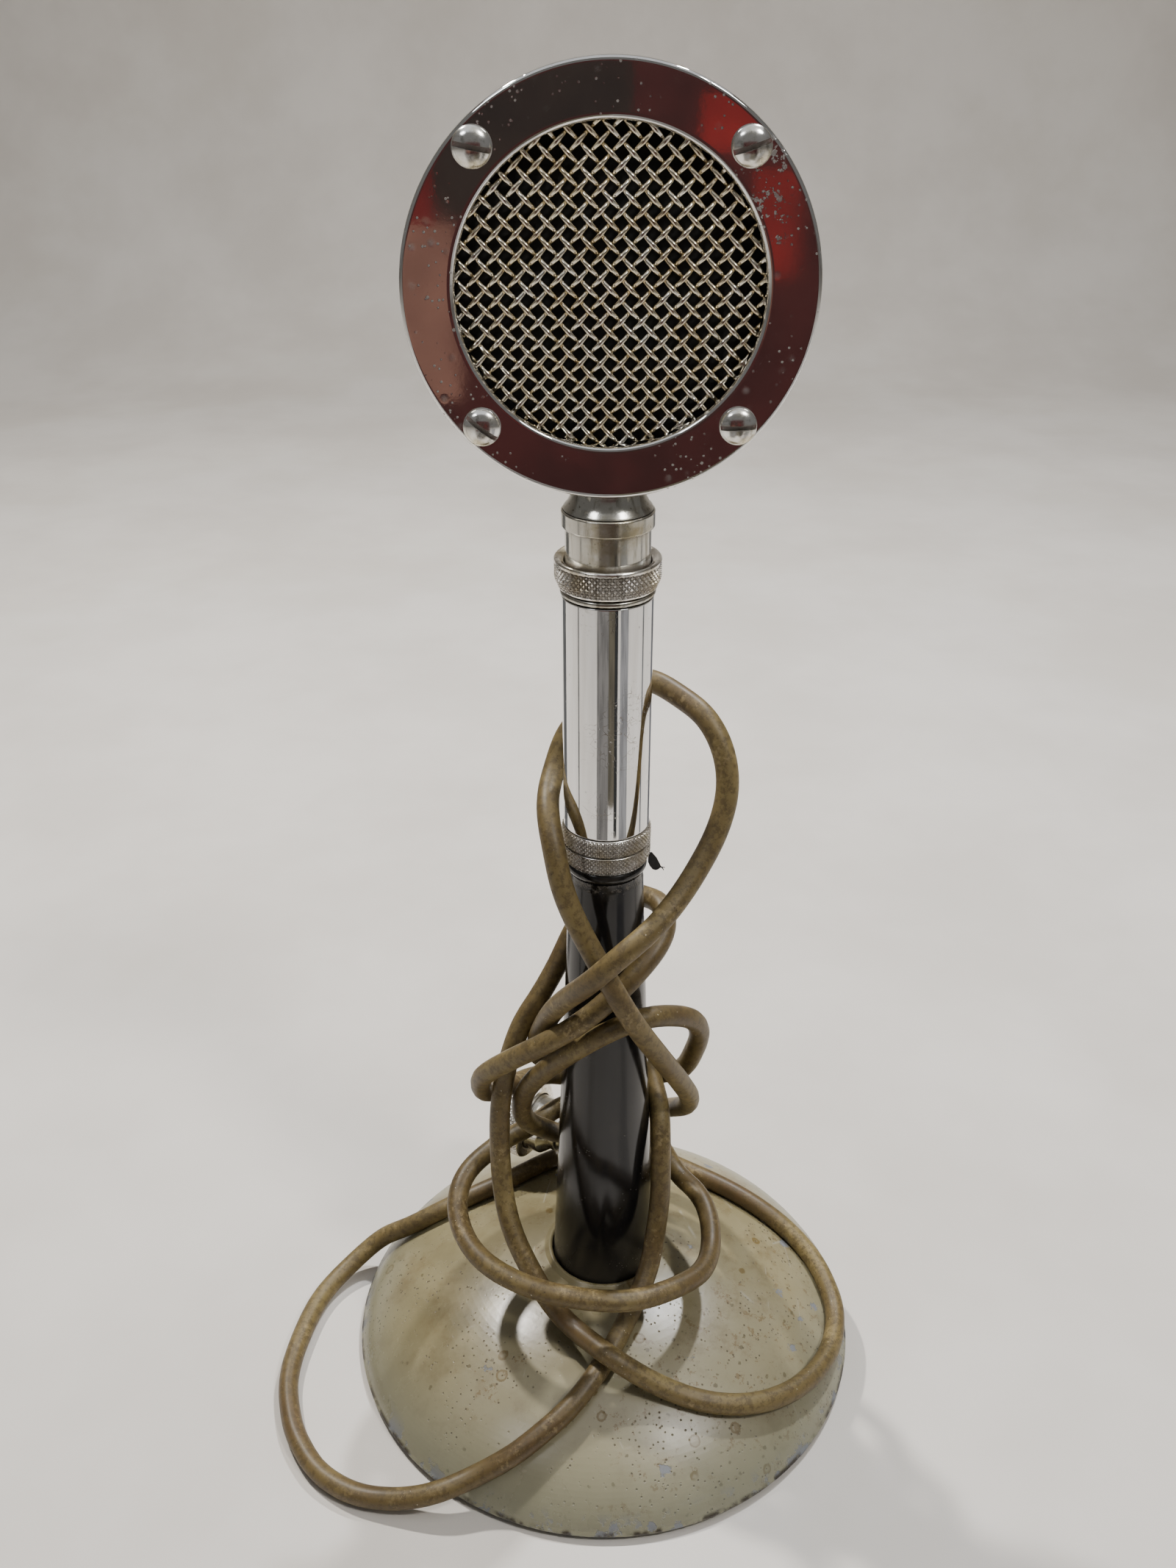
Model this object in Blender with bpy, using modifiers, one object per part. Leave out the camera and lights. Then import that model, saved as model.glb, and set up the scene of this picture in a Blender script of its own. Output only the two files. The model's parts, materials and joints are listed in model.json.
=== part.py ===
"""Desktop microphone on a weighted stand: round head, chrome neck tube, dark tapered column,
domed cast base, and a long free cord with a round multi-pin connector.

Z is up, the stand's axis is the Z axis, the head faces -Y, and the base pad rests on z = 0.
"""

import math

import bmesh
import bpy
from mathutils import Matrix, Vector

MM = 0.001
GAP = 0.3

# Sides of a large, a middling and a small turned piece
LARGE_ROUND = 44
ROUND = 28
SMALL_ROUND = 16

# Base, millimetres
BASE_RADIUS = 72.5
BASE_HEIGHT = 30.5
BASE_FOOT_Z = 1.5
BASE_WALL = 4.0
PAD_RADIUS = 69.0
PAD_THICKNESS = 1.2

# Column, millimetres
COLUMN_FOOT_RADIUS = 14.5
COLUMN_TOP_RADIUS = 9.3
COLUMN_BOTTOM_Z = 26.0
COLUMN_LIP_Z = 163.3
COLUMN_WALL = 2.4
EXIT_Z = 40.0

# Swivel and upper tube, millimetres
TUBE_RADIUS = 10.4
TUBE_WALL = 1.2
TUBE_BOTTOM_Z = 173.3
TUBE_TOP_Z = 231.8
KNURL_RADIUS = 10.95

# Head, millimetres
HEAD_Z = 297.8
RING_OUTER = 41.2
RING_INNER = 30.5
RING_FRONT_Y = -10.5
RING_BACK_Y = -7.3
SCREW_CIRCLE = 36.8
PIN_CIRCLE = 4.2
PIN_COUNT = 3

# Cord and its connector, millimetres
CORD_RADIUS = 2.8
CORD_BEND_SAG = 1.0
CORD_CLEARANCE = 1.1
CONNECTOR_REAR = Vector((-8.3, 32.8, 41.4))
CONNECTOR_AXIS = Vector((-0.88, 0.47, 0.05)).normalized()

# The cord's route by hand, from inside the column to the connector, millimetres
CORD_ROUTE = [
    (0, 10, 40), (0, 14, 40), (0, 18, 40), (-0.5, 22.8, 41.9), (-3, 24.8, 46.3), (-6, 23.6, 51.5),
    (-9.3, 17.6, 56.5), (-13.7, 13, 61.1), (-16.6, 8.5, 66.9), (-21.2, 3.5, 73.9), (-23, 0, 81.9),
    (-21.5, -2, 89.9), (-16.4, -7, 100.7), (-9.1, -12, 111.1), (1.5, -14.4, 120.3), (9.4, -12, 122),
    (17, -6.5, 118.5), (23.1, -1, 113), (25.7, 4, 104.3), (24.7, 7, 96.3), (21.7, 10.5, 86.2),
    (13, 17, 79), (3, 20.5, 71.5), (-14.7, 21.4, 62.2), (-18.4, 16.7, 62.5), (-22.4, 11, 64.4),
    (-27, 6.5, 65.8), (-32.7, 2, 64.3), (-38.2, -3, 62.3), (-40.7, -9, 59.9), (-40.1, -16, 56.5),
    (-35.4, -25, 54.1), (-28.4, -31, 52.8), (-17.7, -36, 51.7), (-4.6, -38.5, 50.8), (6.9, -38, 49.8),
    (19.5, -31, 47.3), (26.5, -24, 45.3), (29.6, -14, 44.6), (29.4, -5, 47.2), (26.4, 3, 48.3),
    (22, 9, 47.9), (15, 18.5, 55), (4, 25, 61.5), (-8, 27.6, 69), (-19, 22, 75), (-26, 14, 78.5),
    (-32.6, 5.3, 83.1), (-33.2, -2.5, 95), (-26.5, -9.5, 105.8), (-15.8, -15, 116.5),
    (-8.3, -15.2, 121.7), (0.7, -14, 129.4), (8.1, -11, 136.1), (13.8, -5.5, 140.9), (15.6, 0, 144),
    (14.3, 5, 145.8), (11.3, 10, 143.9), (5, 14.8, 143), (-5, 14.2, 137), (-12.8, 8, 123.7),
    (-17.6, 4, 116.5), (-22, 1.9, 110.2), (-24.7, -1.8, 104), (-26.9, -0.5, 94.3), (-28.3, -3.2, 86.3),
    (-28.7, -6, 74.7), (-27.7, -12, 61.1), (-25.3, -17.5, 53.5), (-21.1, -22.5, 46.2), (-14.8, -28, 37),
    (-9.9, -31, 32.7), (-4.7, -36.7, 33.1), (0.8, -42.9, 34.4), (8.7, -44.9, 29.4), (18, -46.3, 24.3),
    (27, -47.5, 21.8), (35.7, -46.5, 19.5), (44.4, -43.3, 17.3), (53.2, -37.3, 15), (59.3, -30.5, 13.6),
    (64.3, -22.1, 12.3), (66.8, -14.5, 12), (67.6, -7.4, 12.3), (66.1, -0.8, 14.1), (63.5, 6.2, 16),
    (58.4, 13, 18.7), (52, 18.4, 21.6), (43.9, 23.8, 24.2), (35.4, 28.5, 26), (27.2, 32.6, 27.1),
    (12, 42, 27), (-2, 43.5, 26.8), (-15, 38, 27.6), (-28.1, 29.1, 27.8), (-39.1, 24.9, 25.6),
    (-49.1, 21.9, 22.3), (-59.9, 20.8, 16.3), (-68, 22.1, 11), (-73.1, 20.1, 7.5), (-78.9, 15.5, 4.5),
    (-84.4, 8.3, 3.1), (-87.3, 0.8, 2.9), (-90.4, -17.2, 2.9), (-90.2, -26.3, 2.9), (-88.6, -32.9, 2.9),
    (-86.1, -40.4, 2.9), (-78.3, -52.2, 2.9), (-73.1, -56.4, 3), (-66.6, -59.9, 3.2), (-59.3, -61.8, 4),
    (-51.7, -63, 5.8), (-43.4, -63, 8.6), (-35.9, -60.4, 10), (-24.4, -58.3, 16.4),
    (-18.3, -55.4, 19.7), (-10.2, -50.3, 23.5), (-4, -43.7, 26.6), (0.8, -37.1, 28.8),
    (5.1, -30.5, 32.5), (8.5, -25.5, 36.7), (11.9, -20, 41.4), (13.8, -14.5, 48.7), (15.1, -11, 58.2),
    (15.3, -8, 67.8), (15.3, -4.5, 75.7), (15.1, 0.5, 81.8), (13.9, 6.5, 84.2), (9.5, 13.5, 93),
    (-1, 17, 91), (-9, 16.5, 88.5), (-16, 11.5, 89), (-18.6, 8, 95), (-18.6, 6, 97.5),
    (-16.9, -4.7, 112.4), (-12.3, -14.1, 127.7), (-3.7, -25, 143.5), (3.3, -26, 151.6),
    (10.5, -22.5, 156.4), (16.6, -17.5, 161.5), (22.3, -12, 168.2), (26.5, -8, 175.5),
    (28.7, -4.5, 184.5), (27.3, -1, 193.5), (23.5, 3, 199.5), (18.7, 8, 201.6), (9, 13.5, 205),
    (0, 16, 198), (-8.7, 13, 192), (-12.4, 8.6, 183.4), (-14.2, 1, 179.4), (-14, -5.5, 176.6),
    (-12.6, -10.5, 170.8), (-11, -13.5, 163), (-8.5, -15.2, 156.1), (-4.5, -17, 147.9),
    (0.4, -20.3, 139.3), (6.3, -20.3, 127.4), (13.8, -14.5, 111.4), (19.3, -7, 97.7), (23.4, 1.5, 84.2),
    (23.2, 8.5, 75.1), (21, 18, 66), (17, 26, 58), (9, 30, 49), (-0.8, 29.2, 42), (-8.3, 32.8, 41.4),
]

# A round cutter is turned by this, so its sides never line up with those of the piece it cuts
OFF_LINE = Matrix.Rotation(math.radians(7.0), 4, "Z")

COLOURS = {
    "cast_base": ((0.36, 0.34, 0.26), 0.45, 0.3),
    "black_enamel": ((0.02, 0.02, 0.022), 0.2, 0.2),
    "chrome": ((0.75, 0.75, 0.76), 0.08, 1.0),
    "nickel": ((0.55, 0.52, 0.46), 0.3, 1.0),
    "steel": ((0.42, 0.42, 0.42), 0.35, 1.0),
    "brass": ((0.66, 0.5, 0.22), 0.3, 1.0),
    "mesh_wire": ((0.45, 0.4, 0.3), 0.35, 1.0),
    "dark_cloth": ((0.015, 0.015, 0.015), 0.9, 0.0),
    "insulator": ((0.03, 0.028, 0.025), 0.4, 0.0),
    "felt": ((0.05, 0.08, 0.05), 0.95, 0.0),
    "cord_jacket": ((0.2, 0.15, 0.09), 0.55, 0.0),
    "tape": ((0.015, 0.015, 0.015), 0.6, 0.0),
}

for old in list(bpy.data.objects):
    bpy.data.objects.remove(old, do_unlink=True)


def new_collection(name):
    """Make a collection in the scene."""
    collection = bpy.data.collections.new(name)
    bpy.context.scene.collection.children.link(collection)
    return collection


PARTS = new_collection("desktop_mic_stand")
CUTTERS = new_collection("cutters")


def material(name, kind):
    """A Principled material of its own for one sub-part."""
    colour, roughness, metallic = COLOURS[kind]
    made = bpy.data.materials.new(name)
    made.use_nodes = True
    shader = made.node_tree.nodes["Principled BSDF"]
    shader.inputs["Base Color"].default_value = (*colour, 1.0)
    shader.inputs["Roughness"].default_value = roughness
    shader.inputs["Metallic"].default_value = metallic
    return made


def add_part(name, data, kind, matrix=None):
    """Put mesh or curve data in the parts collection as a named sub-part."""
    part = bpy.data.objects.new(name, data)
    PARTS.objects.link(part)
    data.materials.append(material(name, kind))
    if matrix is not None:
        part.matrix_world = matrix
    return part


def to_axis(centre, axis):
    """A frame at centre, in millimetres, whose local Z runs along axis."""
    turn = Vector(axis).to_track_quat("Z", "Y").to_matrix().to_4x4()
    return Matrix.Translation(Vector(centre) * MM) @ turn


def smooth(mesh, degrees=35.0):
    """Shade round faces smooth and keep the edges between faces sharp."""
    mesh.shade_smooth()
    mesh.set_sharp_from_angle(angle=math.radians(degrees))


def turned(name, outline, kind, matrix=None, steps=ROUND):
    """Turn an outline of (radius, height) about local Z.

    The outline runs down the outer side. An open one starts and ends on the axis,
    and any other is closed into a ring.
    """
    mesh = bpy.data.meshes.new(name)
    points = [(radius * MM, 0.0, height * MM) for radius, height in outline]
    edges = [(i, i + 1) for i in range(len(points) - 1)]
    if outline[0][0] > 0.0:
        edges.append((len(points) - 1, 0))
    mesh.from_pydata(points, edges, [])
    part = add_part(name, mesh, kind, matrix)
    screw = part.modifiers.new("turn", "SCREW")
    screw.steps = steps
    screw.render_steps = steps
    screw.use_merge_vertices = True
    screw.merge_threshold = 0.00001
    screw.use_smooth_shade = False
    return part


def ring(name, inner, outer, low, high, kind, matrix=None, chamfer=0.0, steps=ROUND):
    """A plain turned ring with chamfered outer edges."""
    outline = [(inner, high), (outer - chamfer, high), (outer, high - chamfer)]
    outline += [(outer, low + chamfer), (outer - chamfer, low), (inner, low)]
    if not chamfer:
        outline = [(inner, high), (outer, high), (outer, low), (inner, low)]
    return turned(name, outline, kind, matrix, steps)


def rod(name, radius, low, high, kind, matrix=None, chamfer=0.0, steps=SMALL_ROUND):
    """A solid turned rod along local Z."""
    outline = [(0.0, high), (radius - chamfer, high), (radius, high - chamfer)]
    outline += [(radius, low + chamfer), (radius - chamfer, low), (0.0, low)]
    if not chamfer:
        outline = [(0.0, high), (radius, high), (radius, low), (0.0, low)]
    return turned(name, outline, kind, matrix, steps)


def cutter_cylinder(radius, depth, matrix, sides=SMALL_ROUND):
    """A hidden cylinder for a Boolean, centred on its frame."""
    mesh = bpy.data.meshes.new("cutter")
    shape = bmesh.new()
    bmesh.ops.create_cone(
        shape, cap_ends=True, segments=sides, radius1=radius * MM, radius2=radius * MM, depth=depth * MM
    )
    shape.to_mesh(mesh)
    shape.free()
    return hide_cutter(mesh, matrix @ OFF_LINE)


def cutter_box(size, matrix):
    """A hidden box for a Boolean, centred on its frame."""
    mesh = bpy.data.meshes.new("cutter")
    shape = bmesh.new()
    bmesh.ops.create_cube(shape, size=1.0)
    bmesh.ops.scale(shape, vec=Vector(size) * MM, verts=shape.verts)
    shape.to_mesh(mesh)
    shape.free()
    return hide_cutter(mesh, matrix)


def hide_cutter(mesh, matrix):
    """Link a cutter where neither the render nor the build takes it."""
    cutter = bpy.data.objects.new("cutter", mesh)
    CUTTERS.objects.link(cutter)
    cutter.matrix_world = matrix
    cutter.hide_render = True
    cutter.display_type = "WIRE"
    return cutter


def cut(part, cutter):
    """Subtract a cutter from a sub-part."""
    boolean = part.modifiers.new("cut", "BOOLEAN")
    boolean.operation = "DIFFERENCE"
    boolean.object = cutter


def tube_curve(name, points, radius, kind, resolution=2):
    """A round wire or cord through points in millimetres."""
    curve = bpy.data.curves.new(name, "CURVE")
    curve.dimensions = "3D"
    curve.bevel_depth = radius * MM
    curve.bevel_resolution = resolution
    curve.use_fill_caps = True
    spline = curve.splines.new("POLY")
    spline.points.add(len(points) - 1)
    for target, point in zip(spline.points, points):
        target.co = (*(Vector(point) * MM), 1.0)
    return add_part(name, curve, kind)


def arc(centre, radius, start, end, count):
    """Points on an arc in an outline's plane, angles in degrees."""
    made = []
    for i in range(count):
        angle = math.radians(start + (end - start) * i / (count - 1))
        made.append((centre[0] + radius * math.cos(angle), centre[1] + radius * math.sin(angle)))
    return made


def along_route(route, low_step=0.02):
    """Read a centripetal Catmull-Rom curve through the route, as short steps."""
    points = [Vector(p) for p in route]
    points = [2 * points[0] - points[1]] + points + [2 * points[-1] - points[-2]]
    made = []
    for p0, p1, p2, p3 in zip(points, points[1:], points[2:], points[3:]):
        t1 = (p1 - p0).length ** 0.5
        t2 = t1 + (p2 - p1).length ** 0.5
        t3 = t2 + (p3 - p2).length ** 0.5
        count = round(1.0 / low_step)
        for i in range(count):
            t = t1 + (t2 - t1) * i / count
            a1 = p0.lerp(p1, t / t1)
            a2 = p1.lerp(p2, (t - t1) / (t2 - t1))
            a3 = p2.lerp(p3, (t - t2) / (t3 - t2))
            b1 = a1.lerp(a2, t / t2)
            b2 = a2.lerp(a3, (t - t1) / (t3 - t1))
            made.append(b1.lerp(b2, (t - t1) / (t2 - t1)))
    made.append(points[-2])
    return made


def thinned(fine, sag, longest=19.0, shortest=5.0):
    """Keep the points of a fine curve that hold it within a given sag."""
    kept = [fine[0]]
    start = 0
    for i in range(1, len(fine) - 1):
        chord = fine[i + 1] - kept[-1]
        stretch = fine[start : i + 1]
        worst = max((p - kept[-1]).cross(chord).length / chord.length for p in stretch)
        far = chord.length > longest
        if far or (worst > sag and chord.length > shortest):
            kept.append(fine[i])
            start = i
    kept.append(fine[-1])
    return kept


def dome_height(radius):
    """Height of the base's outer surface at a radius, millimetres."""
    share = min(abs(radius) / BASE_RADIUS, 1.0)
    return BASE_HEIGHT * (1.0 - share**2.2) ** 0.65


def off_the_base(point):
    """Move a cord point straight off the base where the faceted tube would graze it."""
    reach = math.hypot(point.x, point.y)
    if reach > BASE_RADIUS + 2 * CORD_RADIUS or point.z > BASE_HEIGHT + 2 * CORD_RADIUS:
        return point
    outward = Vector((point.x, point.y, 0.0)) / max(reach, 0.001)
    samples = [outward * (BASE_RADIUS * i / 200) for i in range(201)]
    surface = [Vector((s.x, s.y, dome_height(s.length))) for s in samples]
    nearest = min(surface, key=lambda s: (s - point).length)
    away = point - nearest
    wanted = CORD_RADIUS + CORD_CLEARANCE
    if away.length >= wanted:
        return point
    return nearest + away.normalized() * wanted


def column_radius(height):
    """Outer radius of the tapered column at a height, millimetres."""
    share = min(max((height - 30.0) / 128.0, 0.0), 1.0)
    return COLUMN_TOP_RADIUS + (COLUMN_FOOT_RADIUS - COLUMN_TOP_RADIUS) * (1.0 - share) ** 1.1


def make_base():
    """The cast dome with its hollow underside and a boss for the bolt."""
    outline = [(14.9, 30.0), (15.2, 30.7), (16.0, 30.7), (16.6, dome_height(16.6))]
    outline += [(r, dome_height(r)) for r in (28.0, 40.0, 50.0, 58.0, 64.5, 69.0, 71.4)]
    outline += [(72.1, BASE_FOOT_Z + 0.6), (71.6, BASE_FOOT_Z), (68.5, BASE_FOOT_Z)]
    outline += [(r, dome_height(r + 2.0) - BASE_WALL) for r in (65.0, 58.0, 44.0, 30.0)]
    outline += [(22.0, 22.5), (20.0, 12.5), (3.4, 12.5), (3.4, 25.4), (14.9, 25.4)]
    turned("base_casting", outline, "cast_base", steps=LARGE_ROUND)
    ring("base_pad", 14.0, PAD_RADIUS, 0.0, PAD_THICKNESS, "felt", steps=LARGE_ROUND)


def make_base_fixing():
    """The bolt, washer and nut that hold the column down."""
    turned(
        "base_bolt",
        [(0.0, 36.4), (5.4, 36.4), (5.9, 35.6), (5.9, 32.4), (3.0, 32.4), (3.0, 5.8), (0.0, 5.8)],
        "steel",
        steps=SMALL_ROUND,
    )
    ring("base_washer", 3.3, 9.0, 10.9, 12.2, "steel")
    ring("base_nut", 3.8, 6.4, 6.9, 10.6, "steel", steps=6)


def make_column():
    """The tapered column, with a rounded lip, and a hole at the back for the cord."""
    stations = [30.0 + 128.0 * i / 8 for i in range(9)]
    lip = arc((8.5, 161.75), 1.55, 80.0, -80.0, 5)
    outline = [(6.9, COLUMN_LIP_Z)] + lip + [(9.2, 159.9), (9.2, 159.2)]
    outline += [(column_radius(z), z) for z in reversed(stations)]
    outline += [(COLUMN_FOOT_RADIUS, COLUMN_BOTTOM_Z + 0.6), (COLUMN_FOOT_RADIUS - 0.6, COLUMN_BOTTOM_Z)]
    outline += [(3.4, COLUMN_BOTTOM_Z), (3.4, 32.0)]
    outline += [(column_radius(z) - COLUMN_WALL, z) for z in (32.0, 75.0, 115.0, 148.0)]
    outline += [(6.9, 150.0)]
    column = turned("column", outline, "black_enamel")
    back = to_axis((0.0, COLUMN_FOOT_RADIUS - 1.0, EXIT_Z), (0.0, 1.0, 0.0))
    cut(column, cutter_cylinder(4.6, 14.0, back))


def make_cable_grommet():
    """The bushing in the column's back that the cord comes out of."""
    frame = to_axis((0.0, 0.0, EXIT_Z), (0.0, 1.0, 0.0))
    outline = [(4.0, 16.8), (4.6, 16.6), (5.6, 15.8), (5.8, 14.5), (4.2, 14.5)]
    outline += [(4.2, 10.4), (3.3, 10.4), (3.3, 14.6)]
    turned("cable_grommet", outline, "insulator", frame, steps=SMALL_ROUND)


def make_inner_cable():
    """The lead that runs on from the cord, up the middle of the stand, to the socket."""
    points = [(0.0, 9.4, 40.0), (0.0, 6.0, 40.8), (0.0, 2.4, 44.0), (0.0, 0.4, 50.0), (0.0, 0.0, 60.0)]
    points += [(0.0, 0.0, z) for z in (110.0, 160.0, 219.5)]
    tube_curve("inner_cable", points, 2.0, "insulator")


def make_tape_tab():
    """A torn end of tape that sticks out beside the column's groove."""
    curve = bpy.data.curves.new("tape_tab", "CURVE")
    curve.dimensions = "2D"
    curve.fill_mode = "BOTH"
    curve.extrude = 0.2 * MM
    outline = [(0.0, 0.0), (0.4, 3.6), (1.6, 4.4), (2.6, 2.2), (4.1, 0.8), (3.4, -0.3), (2.2, -0.6)]
    spline = curve.splines.new("POLY")
    spline.points.add(len(outline) - 1)
    spline.use_cyclic_u = True
    for target, (x, z) in zip(spline.points, outline):
        target.co = (x * MM, z * MM, 0.0, 1.0)
    upright = Matrix.Rotation(math.radians(90.0), 4, "X")
    add_part("tape_tab", curve, "tape", Matrix.Translation(Vector((10.5, 2.0, 158.2)) * MM) @ upright)


def make_swivel():
    """The two knurled rings, the bush inside them and the chrome tube above."""
    outline = [(9.7, 168.3), (10.2, 168.3), (10.9, 167.6), (10.9, 164.2), (10.4, 163.6), (9.7, 163.6)]
    turned("jam_ring", outline, "nickel")
    outline = [(9.7, 173.0), (10.3, 173.0), (KNURL_RADIUS, 172.3), (KNURL_RADIUS, 168.9)]
    outline += [(10.7, 168.6), (9.7, 168.6)]
    turned("clamp_ring", outline, "nickel")
    outline = [(3.6, 194.0), (8.4, 194.0), (8.9, 193.4), (8.9, 173.0), (9.4, 173.0), (9.4, 164.2)]
    outline += [(6.6, 164.2), (6.6, 152.5), (6.1, 152.0), (3.6, 152.0)]
    turned("tube_bush", outline, "steel")
    ring("upper_tube", TUBE_RADIUS - TUBE_WALL, TUBE_RADIUS, TUBE_BOTTOM_Z, TUBE_TOP_Z, "chrome", chamfer=0.2)


def make_ferrule():
    """The beaded ferrule on the tube's top that the head's spigot drops into."""
    outline = [(9.9, 238.5), (10.4, 238.5), (10.4, 233.5)]
    outline += arc((10.1, 232.8), 0.7, 90.0, -90.0, 5)
    outline += [(8.9, 232.1), (8.9, 222.0), (8.2, 222.0), (8.2, 235.2), (9.9, 235.2)]
    turned("tube_ferrule", outline, "nickel")


def make_lock_ring():
    """The knurled ring that turns round the ferrule and locks the head."""
    outline = [(10.75, 240.0), (11.5, 240.6), (12.0, 240.2), (12.0, 235.6), (11.0, 233.9), (10.75, 233.9)]
    turned("lock_ring", outline, "nickel")


def pin_frames():
    """Axes of the plug's pins, as (x, y) on their circle."""
    angles = [math.radians(90.0 + 360.0 * i / PIN_COUNT) for i in range(PIN_COUNT)]
    return [(PIN_CIRCLE * math.cos(a), PIN_CIRCLE * math.sin(a)) for a in angles]


def make_socket():
    """The socket in the tube's top: an insulator and its contact sleeves."""
    insulator = rod("socket_insulator", 7.9, 226.0, 231.5, "insulator")
    for i, (x, y) in enumerate(pin_frames()):
        cut(insulator, cutter_cylinder(1.9, 12.0, to_axis((x, y, 229.0), (0.0, 0.0, 1.0))))
        frame = Matrix.Translation(Vector((x, y, 0.0)) * MM)
        ring(f"socket_contact_{i + 1}", 1.3, 1.6, 222.0, 231.8, "brass", frame, steps=SMALL_ROUND)


def make_plug():
    """The head's plug: spigot with its collar, insulator and pins."""
    outline = [(4.4, 251.4), (9.8, 251.4), (10.2, 251.0), (10.2, 248.0), (9.6, 247.6), (9.6, 235.9)]
    outline += [(9.2, 235.5), (8.0, 235.5), (8.0, 246.4), (4.4, 246.4)]
    turned("plug_collar", outline, "nickel")
    insulator = rod("plug_insulator", 7.7, 238.0, 241.0, "insulator")
    for i, (x, y) in enumerate(pin_frames()):
        cut(insulator, cutter_cylinder(1.3, 12.0, to_axis((x, y, 239.5), (0.0, 0.0, 1.0))))
        frame = Matrix.Translation(Vector((x, y, 0.0)) * MM)
        rod(f"plug_pin_{i + 1}", 1.0, 226.0, 244.0, "brass", frame, chamfer=0.2, steps=SMALL_ROUND)


def head_frame():
    """A frame at the head's centre whose local Z runs back along +Y."""
    return to_axis((0.0, 0.0, HEAD_Z), (0.0, 1.0, 0.0))


def make_neck():
    """The cone between the plug's collar and the case, hollowed to the case's curve."""
    neck = turned(
        "neck",
        [(4.4, 264.0), (7.5, 264.0), (7.5, 258.4), (8.0, 256.6), (9.4, 253.0), (9.9, 251.7), (4.4, 251.7)],
        "nickel",
    )
    behind_flange = to_axis((0.0, -3.2 + 20.0, HEAD_Z), (0.0, 1.0, 0.0))
    round_flange = to_axis((0.0, -3.2 - 9.0, HEAD_Z), (0.0, 1.0, 0.0))
    cut(neck, cutter_cylinder(38.85, 40.6, behind_flange, sides=LARGE_ROUND))
    cut(neck, cutter_cylinder(41.55, 18.0, round_flange, sides=LARGE_ROUND))


def screw_spots():
    """Places of the front ring's four screws, as (x, z) from the head's centre."""
    angles = [math.radians(45.0 + 90.0 * i) for i in range(4)]
    return [(SCREW_CIRCLE * math.cos(a), SCREW_CIRCLE * math.sin(a)) for a in angles]


def make_front_ring():
    """The bright ring that clamps the grille, with holes for its screws."""
    edge = 0.7
    bevel = 1.3
    outline = [(RING_INNER, RING_BACK_Y), (RING_OUTER, RING_BACK_Y), (RING_OUTER, RING_FRONT_Y + edge)]
    outline += [(RING_OUTER - edge, RING_FRONT_Y), (RING_INNER + bevel, RING_FRONT_Y)]
    outline += [(RING_INNER, RING_FRONT_Y + bevel)]
    front = turned("front_ring", outline, "chrome", head_frame(), steps=LARGE_ROUND)
    for x, z in screw_spots():
        cut(front, cutter_cylinder(2.2, 12.0, to_axis((x, -9.0, HEAD_Z + z), (0.0, 1.0, 0.0))))


def make_ring_screws():
    """Four round-headed screws, each with its slot turned differently."""
    slot_turns = (35.0, 100.0, 62.0, 148.0)
    outline = [(0.0, 2.4), (1.6, 2.2), (2.9, 1.6), (3.65, 0.7), (3.85, 0.0)]
    outline += [(1.9, 0.0), (1.9, -5.4), (1.5, -5.9), (0.0, -5.9)]
    for i, (x, z) in enumerate(screw_spots()):
        frame = to_axis((x, RING_FRONT_Y - GAP, HEAD_Z + z), (0.0, -1.0, 0.0))
        screw = turned(f"ring_screw_{i + 1}", outline, "nickel", frame, steps=SMALL_ROUND)
        turn = Matrix.Rotation(math.radians(slot_turns[i]), 4, "Z")
        lift = Matrix.Translation((0.0, 0.0, 2.0 * MM))
        cut(screw, cutter_box((9.0, 0.9, 1.8), frame @ turn @ lift))


def make_case():
    """The pan-shaped rear case, with holes for the screws and a lead hole at the bottom."""
    back = 12.5
    outline = [(0.0, back)] + arc((28.5, back - 10.0), 10.0, 90.0, 0.0, 6)
    outline += [(38.5, -3.5), (RING_OUTER, -3.5), (RING_OUTER, -7.0), (33.9, -7.0), (33.9, -3.9), (36.5, -3.2)]
    outline += arc((28.5, back - 10.0), 8.0, 0.0, 90.0, 5) + [(0.0, back - 2.0)]
    case = turned("rear_case", outline, "chrome", head_frame(), steps=LARGE_ROUND)
    for x, z in screw_spots():
        cut(case, cutter_cylinder(2.2, 7.4, to_axis((x, -8.3, HEAD_Z + z), (0.0, 1.0, 0.0))))
    cut(case, cutter_cylinder(3.6, 12.0, to_axis((0.0, 1.6, HEAD_Z - 38.0), (0.0, 0.0, 1.0))))


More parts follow.
